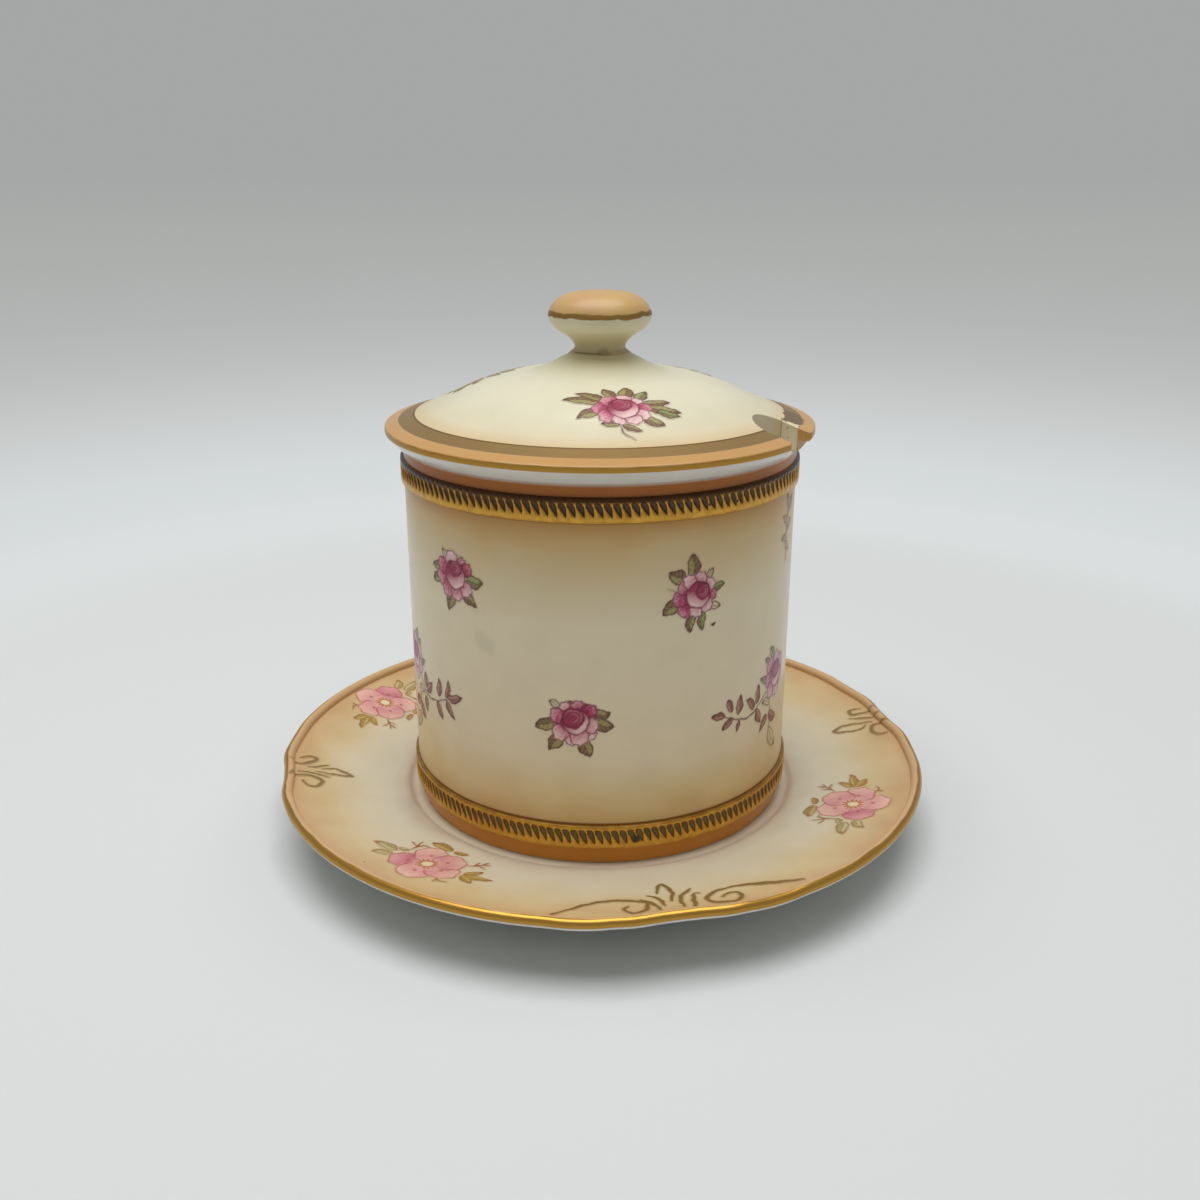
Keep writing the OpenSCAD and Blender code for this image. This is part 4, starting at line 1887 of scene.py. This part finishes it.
@dataclass
class Pot:
    """The straight-sided pot that holds the jam.

    Attributes:
        upper_prints: Design, turn from the front in degrees and height above the base, in mm,
            of each print of the upper row.
        lower_prints: The same for the lower row.
    """

    levels: Levels
    steps: int = 432
    wall: float = 3.8
    floor: float = 4.5
    foot_inset: float = 0.5
    foot_ring_w: float = 4.5
    foot_recess: float = 1.2
    foot_round: float = 0.4
    rim_round: float = 0.8
    floor_round: float = 5.0
    upper_prints: tuple[tuple[Sprig, float, float], ...] = (
        (UPPER_LEFT_ROSE, -43.5, 58.7),
        (UPPER_RIGHT_ROSE, 26.0, 57.5),
        (PALE_SPRIG, 67.0, 64.0),
        (UPPER_LEFT_ROSE, 99.0, 58.0),
        (PALE_SPRIG, 133.0, 63.0),
        (UPPER_RIGHT_ROSE, 168.0, 57.0),
        (UPPER_LEFT_ROSE, -115.0, 58.5),
    )
    lower_prints: tuple[tuple[Sprig, float, float], ...] = (
        (LOWER_ROSE, -7.0, 32.0),
        (LEFT_LEANING_SPRAY, 48.0, 28.0),
        (LOWER_ROSE, 101.0, 33.0),
        (LEFT_LEANING_SPRAY, 150.0, 28.0),
        (LOWER_ROSE, -158.0, 31.0),
        (RIGHT_LEANING_SPRAY, -110.0, 30.0),
        (RIGHT_LEANING_SPRAY, -56.0, 31.0),
    )

    def outline(self) -> Outline:
        """The pot's section, from the middle of its base round to the middle of its floor inside."""
        base, top = self.levels.well_z, self.levels.seat_z
        wall_r, bore_r = self.levels.pot_r, self.levels.pot_r - self.wall
        foot_r, soft = wall_r - self.foot_inset, self.foot_round
        ring_r, turn_r = foot_r - self.foot_ring_w, self.floor_round
        heights = np.linspace(self.levels.lower_z[0], top - self.rim_round, 12)
        return [
            (0.0, base + self.foot_recess),
            (ring_r - soft, base + self.foot_recess),
            *arc(ring_r + soft, base + soft, soft, 180, 270, 4),
            *arc(foot_r - soft, base + soft, soft, -90, 0, 4),
            *[(wall_r, z) for z in heights[:-1]],
            *arc(wall_r - self.rim_round, top - self.rim_round, self.rim_round, 0, 90, 6),
            *arc(bore_r + self.rim_round, top - self.rim_round, self.rim_round, 90, 180, 6),
            *arc(bore_r - turn_r, base + self.floor + turn_r, turn_r, 0, -90),
            (0.0, base + self.floor),
        ]

    def build(self) -> None:
        """Turn, glaze and decorate the pot."""
        piece = turn("pot_wall", self.outline(), self.steps)
        self.dress(piece)
        hand_over(piece, Body.POT, Slot.POT, "pot")
        material = WallGlaze().print_material("enamel_print_on_wall_glaze", self.levels)
        rows = {"wall_roses": self.upper_prints, "wall_sprays": self.lower_prints}
        for name, row in rows.items():
            places = [
                (sprig, on_wall(side, self.levels.pot_r + 0.5, self.levels.well_z + z))
                for sprig, side, z in row
            ]
            prints = FiredPrints(name, piece, Laying.ROUND_THE_WALL)
            prints.build(places, material, Body.POT, Slot.POT)

    def dress(self, piece: Piece) -> None:
        """Glaze the outside and the inside, and leave the foot bare."""
        bore_r = self.levels.pot_r - self.wall

        def inside(centres: np.ndarray, normals: np.ndarray) -> np.ndarray:
            """The bore, the floor and the inner half of the rim."""
            radius = np.hypot(centres[:, 0], centres[:, 1])
            return (radius < bore_r + 2 * self.rim_round) & (centres[:, 2] > self.levels.well_z + 2)

        def underneath(centres: np.ndarray, normals: np.ndarray) -> np.ndarray:
            """The foot and the recess under the base."""
            return (normals[:, 2] < -0.5) & (centres[:, 2] < self.levels.well_z + 2)

        dress(
            piece,
            (WallGlaze().material("tan_shaded_ivory_glaze", self.levels), None),
            (WhiteGlaze().material("white_glaze_inside"), inside),
            (Biscuit().material("bare_clay_pot_foot"), underneath),
        )


class StripPlace(Enum):
    """Which of the two relief strips is modelled."""

    UPPER = "upper_band"
    LOWER = "lower_band"


@dataclass
class ReliefStrip:
    """A moulded strip of leaning gadroons, pressed on to the wall and gilt.

    Attributes:
        place: Which strip this is.
        count: How many gadroons go round.
        fillet: Height of the plain fillet at its foot.
        ridge: Height of the ridge along its top.
        gilding: Its gold.
        dark_spots: Turn, height above the base and size of each spot where its gold is chipped off, and of
            each punched dot, painted in shade.
        hollow_depth: Depth of the hollow between two gadroons.
        crown: How far a gadroon's sides fall off from its middle.
        lean: How far the top of a hollow lies left of its foot.
        hollow_share: Width of a hollow at its widest, as a share of the pitch.
        sunk_r: How far the strip's back lies inside the wall.
        waver: How far the strip's edges wander up and down.
        across_shares: Where the points of half a hollow lie, from its middle to its side.
        up_shares: Where its rows of points lie, from its foot to its top.
    """

    levels: Levels
    place: StripPlace
    count: int
    fillet: float
    ridge: float
    gilding: ReliefGilding
    dark_spots: tuple[Triple, ...] = ()
    hollow_depth: float = 0.5
    crown: float = 0.1
    lean: float = 1.25
    hollow_share: float = 0.86
    sunk_r: float = 0.6
    waver: float = 0.07
    across_shares: tuple[float, ...] = (0.0, 0.7, 1.0)
    up_shares: tuple[float, ...] = (0.0, 0.2, 0.45, 0.7, 0.9, 1.0)

    def build(self) -> None:
        """Model one gadroon, repeat it round the pot, close the strip's back, and gild it."""
        piece = self.model_gadroon()
        turn_each = math.tau / self.count
        with editing(piece):
            bpy.ops.mesh.spin(
                steps=self.count - 1,
                dupli=True,
                angle=turn_each * (self.count - 1),
                center=(0, 0, 0),
                axis=(0, 0, 1),
            )
            bpy.ops.mesh.select_all(action="SELECT")
            bpy.ops.mesh.remove_doubles(threshold=WELD)
            bpy.ops.mesh.select_all(action="DESELECT")
            bpy.ops.mesh.select_non_manifold()
            bpy.ops.mesh.bridge_edge_loops()
        close_shell(piece)
        self.waver_edges(piece)
        smooth(piece, 60)
        dark_spots = [(side, self.levels.well_z + z, size) for side, z, size in self.dark_spots]
        gilding = self.gilding.material(
            f"gold_on_{self.place.value}_relief", self.levels, self.heights(), *dark_spots
        )
        dress(piece, (gilding, None))
        hand_over(piece, Body.POT, Slot.STRIP, self.place.value)

    def waver_edges(self, piece: Piece) -> None:
        """Let the proud face wander up and down a little, as clay pressed on by hand does."""
        places = points_of(piece)
        turns = np.arctan2(places[:, 1], places[:, 0])
        proud = np.hypot(places[:, 0], places[:, 1]) > self.levels.pot_r
        low, high = self.heights()
        inner = np.clip(np.minimum(places[:, 2] - low, high - places[:, 2]) / self.fillet, 0, 1)
        places[:, 2] += proud * inner * self.waver * (np.sin(9 * turns) + np.sin(23 * turns + 1))
        set_points(piece, places)

    def heights(self) -> Span:
        """Height of the strip's foot and of its top, in mm."""
        return self.levels.upper_z if self.place is StripPlace.UPPER else self.levels.lower_z

    def hollow_half(self, part: float) -> float:
        """Half of a hollow's width as a share of the pitch, pointed at its foot and round on top."""
        body = min(max(part, 0.04) / 0.62, 1.0) ** 0.9
        top = math.sqrt(max(1 - max((part - 0.72) / 0.28, 0) ** 2, 0.02))
        return max(self.hollow_share / 2 * body * top, 0.03)

    def model_gadroon(self) -> Piece:
        """Model one gadroon's width of the strip at the front of the pot, open at sides and back.

        Returns:
            The new object, from the middle of one ridge to the middle of the next.
        """
        low, high = self.heights()
        proud_r, back_r = self.levels.strip_r, self.levels.pot_r - self.sunk_r
        pitch = math.tau * proud_r / self.count
        foot, top = low + self.fillet, high - self.ridge
        edge = self.crown / 2
        rows = [(low, back_r, None), (low, proud_r - edge, None), (low + 2 * edge, proud_r, None)]
        rows += [(foot + (top - foot) * part, proud_r, part) for part in self.up_shares]
        rows += [(high - 2 * edge, proud_r - edge, None), (high, proud_r - 4 * edge, None)]
        rows.append((high, back_r, None))
        columns = sorted({side * share for side in (-1, 1) for share in self.across_shares})
        deselect_all()
        bpy.ops.mesh.primitive_grid_add(
            x_subdivisions=len(columns) + 1, y_subdivisions=len(rows) - 1, size=1
        )
        piece = bpy.context.object
        piece.name = f"{self.place.value}_relief"
        shares = points_of(piece) * MM + 0.5
        new = np.zeros((len(shares), 3))
        for number, (u, v) in enumerate(shares[:, :2]):
            z, radius, part = rows[round(v * (len(rows) - 1))]
            column = round(u * (len(columns) + 1))
            at_edge = column in (0, len(columns) + 1)
            share = math.copysign(1.0, column - 1) if at_edge else columns[column - 1]
            half = self.hollow_half(part if part is not None else 0.0)
            across = math.copysign(0.5, share) if at_edge else share * half
            held = min(max((z - foot) / (top - foot), 0.0), 1.0)
            if part is not None and 0 < part < 1 and not at_edge:
                radius -= self.crown + (self.hollow_depth - self.crown) * (1 - share**4)
            side = (across * pitch + self.lean * (0.5 - held)) / proud_r
            new[number] = (radius * math.sin(side), -radius * math.cos(side), z)
        set_points(piece, new)
        return piece


@dataclass
class Cover:
    """The domed cover, with its bevelled edge, its skirt and its notch for the spoon.

    Attributes:
        notch_turn: Direction of the notch, in degrees from +X.
        mouth_ease: Radius that eases the notch's mouth.
        mouth_in: How far inside the cover's edge the easing ends.
        trim_l: How far the lobe beyond the notch is thinned inwards from its edge.
        trim_w: How far it is thinned sideways from the notch.
        trim_h: How far it is thinned upwards from the seat.
        overrun: How far a cutter reaches past what it cuts.
        spray_turns: Direction of each spray in degrees from +X, the first seen upright.
    """

    levels: Levels
    steps: int = 360
    bevel_h: float = 2.6
    bevel_w: float = 2.25
    edge_h: float = 0.8
    edge_round: float = 0.5
    skirt_play: float = 0.6
    skirt_w: float = 2.4
    pot_wall: float = 3.8
    hollow_h: float = 11.5
    hollow_spring_h: float = 2.5
    notch_w: float = 10.5
    notch_l: float = 10.75
    notch_turn: float = -27.4
    mouth_ease: float = 1.6
    trim_l: float = 2.9
    trim_w: float = 8.0
    trim_h: float = 2.1
    mouth_in: float = 0.3
    overrun: float = 1.0
    spray_r: float = 27.3
    spray_turns: tuple[float, ...] = (-81.4, 38.6, 158.6)
    dome_r_shares: tuple[float, ...] = (
        1, 0.935, 0.85, 0.762, 0.66, 0.556, 0.428, 0.298, 0.195, 0.098, 0.056, 0.015, 0
    )
    dome_z_shares: tuple[float, ...] = (
        0, 0.057, 0.136, 0.23, 0.352, 0.485, 0.607, 0.687, 0.739, 0.85, 0.911, 0.968, 1
    )

    def outline(self, knob_foot_r: float) -> Outline:
        """The cover's section, from the knob's seat out, under and back to the middle."""
        seat, knob_z = self.levels.seat_z, self.levels.knob_z[0]
        skirt_r = self.levels.pot_r - self.pot_wall - self.skirt_play
        hollow_r = skirt_r - self.skirt_w
        cap_h = self.hollow_h - self.hollow_spring_h
        cap_r = (hollow_r**2 + cap_h**2) / (2 * cap_h)
        cap_turn = math.degrees(math.asin(hollow_r / cap_r))
        edge_z = seat + self.bevel_h + self.edge_h
        shoulder_r = self.levels.cover_r - self.edge_round
        dome = from_shares(
            self.dome_r_shares,
            self.dome_z_shares,
            (knob_foot_r, shoulder_r),
            (edge_z + self.edge_round, knob_z),
        )
        seat_r = self.levels.cover_r - self.bevel_w
        soft = self.skirt_w / 3
        skirt = self.levels.skirt_z
        return [
            (0.0, knob_z),
            (knob_foot_r * 0.6, knob_z),
            *smooth_through(dome[::-1], 6)[:-1],
            *arc(shoulder_r, edge_z, self.edge_round, 90, 0, 6),
            (self.levels.cover_r, seat + self.bevel_h + 0.1),
            *arc(self.levels.cover_r - 0.15, seat + self.bevel_h, 0.15, 0, -40, 2),
            *arc(seat_r - 0.3, seat + 0.3, 0.3, -50, -90, 3),
            (skirt_r + 0.4, seat),
            (skirt_r, seat - 0.4),
            *arc(skirt_r - soft, skirt + soft, soft, 0, -90, 4),
            *arc(hollow_r + soft, skirt + soft, soft, -90, -180, 4),
            *arc(0, seat + self.hollow_h - cap_r, cap_r, 90 - cap_turn, 90, 24),
        ]

    def build(self, knob_foot_r: float) -> None:
        """Turn the cover, cut its notch, and glaze and decorate it."""
        piece = turn("cover_dome", self.outline(knob_foot_r), self.steps)
        self.dress(piece)
        for cutter in (self.model_notch_cutter(), self.model_lobe_trimmer()):
            refine(piece, "BOOLEAN", operation="DIFFERENCE", object=cutter, solver="EXACT")
            bpy.data.objects.remove(cutter)
        smooth(piece, 35)
        hand_over(piece, Body.COVER, Slot.COVER, "cover")
        above = self.levels.knob_z[1]
        places = [
            (COVER_SPRAY, on_plan(side, self.spray_r, side - self.spray_turns[0], above))
            for side in self.spray_turns
        ]
        material = CoverGlaze().print_material("enamel_print_on_cover_glaze", self.levels)
        prints = FiredPrints("cover_roses", piece, Laying.FROM_ABOVE)
        prints.build(places, material, Body.COVER, Slot.COVER)

    def dress(self, piece: Piece) -> None:
        """Glaze the dome, and leave the bevel, the skirt and the hollow white."""
        edge_z = self.levels.seat_z + self.bevel_h - 0.05

        def beneath(centres: np.ndarray, normals: np.ndarray) -> np.ndarray:
            """All that lies under the cover's gilt edge."""
            return (centres[:, 2] < edge_z) | (normals[:, 2] < -0.3)

        dress(
            piece,
            (CoverGlaze().material("ringed_ivory_glaze", self.levels), None),
            (WhiteGlaze().material("white_glaze_under_cover"), beneath),
        )

    def model_notch_cutter(self) -> Piece:
        """Model the solid that the notch is cut with: a slot with a round end and an eased mouth."""
        half, ease = self.notch_w / 2, self.mouth_ease
        inner = self.levels.cover_r - self.notch_l + half
        lip = self.levels.cover_r - self.mouth_in - ease
        plan = [
            *arc(lip, half + ease, ease, 0, -90),
            *arc(inner, 0, half, 90, 270, 32),
            *arc(lip, -half - ease, ease, 90, 0),
            (lip + 5.0, -half - ease),
            (lip + 5.0, half + ease),
        ]
        heights = (self.levels.skirt_z - self.overrun, self.levels.knob_z[0])
        glaze = CutGlaze().material("notch_glaze_with_painted_shade", self.levels)
        return self.model_cutter("notch_cutter", plan, heights, glaze)

    def model_lobe_trimmer(self) -> Piece:
        """Model the solid that thins the lobe beyond the notch from below."""
        near, far = self.notch_w / 2 - self.overrun, self.notch_w / 2 + self.trim_w
        low_r, high_r = self.levels.cover_r - self.trim_l, self.levels.cover_r + self.overrun
        plan = [(low_r, near), (high_r, near), (high_r, far), (low_r, far)]
        heights = (self.levels.seat_z - self.overrun, self.levels.seat_z + self.trim_h)
        glaze = WhiteGlaze().material("white_glaze_under_lobe")
        return self.model_cutter("lobe_trimmer", plan, heights, glaze)

    def model_cutter(
        self, name: str, plan: Outline, heights: Span, glaze: Material
    ) -> Piece:
        """Extrude an outline in plan to an upright solid on the line of the notch.

        Args:
            name: The cutter's name.
            plan: Points of distance outwards and across from the notch's line, in mm.
            heights: Height of its lower and of its upper face, in mm.
            glaze: The material of the faces that it leaves.

        Returns:
            The new object.
        """
        low, high = heights
        route = [Vector((out, across, low)) for out, across in plan]
        cutter = start_vertex(name, route[0])
        with editing(cutter):
            for here, there in zip(route, route[1:]):
                bpy.ops.mesh.extrude_vertices_move(TRANSFORM_OT_translate={"value": (there - here) * MM})
            bpy.ops.mesh.select_all(action="SELECT")
            bpy.ops.mesh.edge_face_add()
            bpy.ops.mesh.extrude_region_move(TRANSFORM_OT_translate={"value": (0, 0, (high - low) * MM)})
        close_shell(cutter)
        cutter.data.transform(Matrix.Rotation(math.radians(self.notch_turn), 4, "Z"))
        cutter.data.materials.append(glaze)
        return cutter


@dataclass
class Knob:
    """The button knob that the cover is lifted by."""

    levels: Levels
    steps: int = 128
    r_shares: tuple[float, ...] = (
        0.59, 0.502, 0.501, 0.55, 0.627, 0.741, 0.862, 0.954, 1, 0.992, 0.94, 0.842, 0.658, 0.37, 0
    )
    z_shares: tuple[float, ...] = (
        0, 0.066, 0.132, 0.197, 0.262, 0.328, 0.393, 0.491, 0.588, 0.653, 0.75, 0.845, 0.94, 0.985, 1
    )

    @property
    def foot_r(self) -> float:
        """Radius of the knob's foot, in mm."""
        return self.levels.knob_r * self.r_shares[0]

    def build(self) -> None:
        """Turn and glaze the knob."""
        points = from_shares(self.r_shares, self.z_shares, (0, self.levels.knob_r), self.levels.knob_z)
        outline = [(0.0, self.levels.knob_z[0]), *smooth_through(points, 6)]
        piece = turn("knob_button", outline, self.steps)
        dress(piece, (KnobGlaze().material("peach_crowned_glaze", self.levels), None))
        hand_over(piece, Body.COVER, Slot.KNOB, "knob")


# Stage


@dataclass
class Stage:
    """A pale paper sweep, one soft studio lamp and the camera.

    Attributes:
        floor_r: Radius at which the paper starts to curve up.
        bend_r: Radius of its bend.
        wall_h: Height of its upright part.
        tones: Distance along the paper in mm, and its colour there, further off from the object; these
            darken up the sweep as painted shade.
        fade_r: Radius at which the lit paper near the object gives way to those tones.
        fade_w: Width over which it does.
        lamp_place: Where the lamp hangs, in mm.
        lamp_size: Width and depth of the lamp, in mm.
    """

    floor_r: float = 345.0
    bend_r: float = 110.0
    wall_h: float = 1500.0
    near_paper: str = "#d9dcdb"
    tones: tuple[tuple[float, str], ...] = (
        (180.0, "#dfe2e2"),
        (258.0, "#dde1e1"),
        (311.0, "#d8dcdc"),
        (371.0, "#d5d9da"),
        (415.0, "#ced1d1"),
        (450.0, "#c5c7c6"),
        (483.0, "#bbbdbc"),
        (511.0, "#b4b6b5"),
        (558.0, "#acaeac"),
        (598.0, "#a5a7a6"),
        (700.0, "#a5a7a6"),
    )
    fade_r: float = 240.0
    fade_w: float = 120.0
    lamp_place: Triple = (-60.0, 0.0, 900.0)
    lamp_size: Span = (900.0, 700.0)
    lamp_power: float = 7.6
    room: str = "#f4f4f4"
    room_strength: float = 0.3
    camera_y: float = -259.4
    camera_z: float = 140.2
    camera_tilt: float = 19.36
    lens: float = 36.606

    def build(self) -> None:
        """Set up the paper, the lamp and the camera."""
        self.hang_paper()
        self.light()
        self.place_camera()

    def hang_paper(self) -> None:
        """Turn the sweep of paper round the object, so that every view has the same ground."""
        bend = arc(self.floor_r, self.bend_r, self.bend_r, -90, 0, 12)
        flat = [(0.0, 0.0), *[(r, 0.0) for r in (100.0, 200.0, 300.0)]]
        wall_r = self.floor_r + self.bend_r
        wall = [(wall_r, self.bend_r + self.wall_h * share) for share in (0.1, 0.4, 1.0)]
        paper = turn("paper_sweep", [*flat, *bend, *wall], 96)
        with editing(paper):
            bpy.ops.mesh.flip_normals()
        paper.data.materials.append(self.paper_material())

    def paper_material(self) -> Material:
        """Paper that takes the object's shadow near it, and further off glows in painted shade that
        darkens up the sweep.
        """
        shading = Shading("pale_paper")
        tree = shading.tree
        tree.nodes.remove(shading.shader)
        near = shading.add("BsdfDiffuse", {}, {"Color": linear(self.near_paper)})
        reach = shading.add("Math", {"operation": "ADD"}, {0: shading.radius, 1: shading.z})
        # Further off, the paper glows for camera and glossy rays, with painted shade that darkens up the
        # sweep.
        far = shading.add("Emission", {}, {"Color": shading.tints(reach, self.tones)})
        clear = shading.add("BsdfTransparent")
        rays = shading.add("LightPath").node
        seen = rays.outputs["Is Camera Ray"]
        for kind in ("Is Glossy Ray", "Is Transmission Ray"):
            ray = rays.outputs[kind]
            seen = shading.add("Math", {"operation": "MAXIMUM"}, {0: seen, 1: ray})
        endless = 1e6
        upright = shading.zone(shading.z, 1.0, endless, 1.0)
        unlit = shading.add("MixShader", {}, {0: upright, 1: near, 2: clear})
        fade = shading.zone(shading.radius, self.fade_r, endless, self.fade_w)
        shown = shading.add("MixShader", {}, {0: fade, 1: near, 2: far})
        both = shading.add("MixShader", {}, {0: seen, 1: unlit, 2: shown})
        tree.links.new(both, tree.nodes["Material Output"].inputs["Surface"])
        return shading.material

    def light(self) -> None:
        """Hang one wide soft lamp over the object in a dim white room."""
        scene = bpy.context.scene
        scene.view_settings.view_transform = "Standard"
        deselect_all()
        bpy.ops.object.light_add(type="AREA", location=Vector(self.lamp_place) * MM)
        lamp = bpy.context.object
        lamp.name = "overhead_lamp"
        lamp.data.shape = "RECTANGLE"
        lamp.data.size, lamp.data.size_y = self.lamp_size[0] * MM, self.lamp_size[1] * MM
        lamp.data.energy = self.lamp_power
        world = bpy.data.worlds.new("white_room")
        world.use_nodes = True
        world.node_tree.nodes["Background"].inputs["Color"].default_value = linear(self.room)
        world.node_tree.nodes["Background"].inputs["Strength"].default_value = self.room_strength
        scene.world = world

    def place_camera(self) -> None:
        """Put the camera where the photograph was taken from."""
        bpy.ops.object.camera_add(
            location=(0, self.camera_y * MM, self.camera_z * MM),
            rotation=(math.radians(90 - self.camera_tilt), 0, 0),
        )
        camera = bpy.context.object
        camera.data.lens = self.lens
        camera.data.sensor_width = 36.0
        camera.data.clip_start = 0.01
        bpy.context.scene.camera = camera


def main() -> None:
    """Build the jam pot, piece by piece, and the stage round it."""
    logging.basicConfig(level=logging.INFO, format="%(name)s: %(message)s")
    levels = Levels.from_frame()
    log.info("levels: %s", levels)
    Saucer(levels).build()
    Pot(levels).build()
    # Punched dots on the upper strip, painted dark: painted shade inside dots that are not modelled.
    punched_dots = (
        (14.0, 74.6, 0.35), (21.0, 74.3, 0.3), (29.0, 74.7, 0.35), (38.0, 74.4, 0.3), (50.0, 74.6, 0.35),
    )
    # The upper strip sits in the cover's shadow: darker hollows and a top painted in shade.
    upper_gold = ReliefGilding(hollow="#5a3a12", edge="#4a2d0e", shaded_h=1.1)
    ReliefStrip(
        levels, StripPlace.UPPER, count=156, fillet=1.0, ridge=0.8, gilding=upper_gold, dark_spots=punched_dots
    ).build()
    chip = ((10.0, 6.0, 0.8),)
    ReliefStrip(
        levels, StripPlace.LOWER, count=162, fillet=0.9, ridge=0.66, gilding=ReliefGilding(), dark_spots=chip
    ).build()
    knob = Knob(levels)
    Cover(levels).build(knob.foot_r)
    knob.build()
    Stage().build()


if __name__ == "__main__":
    main()
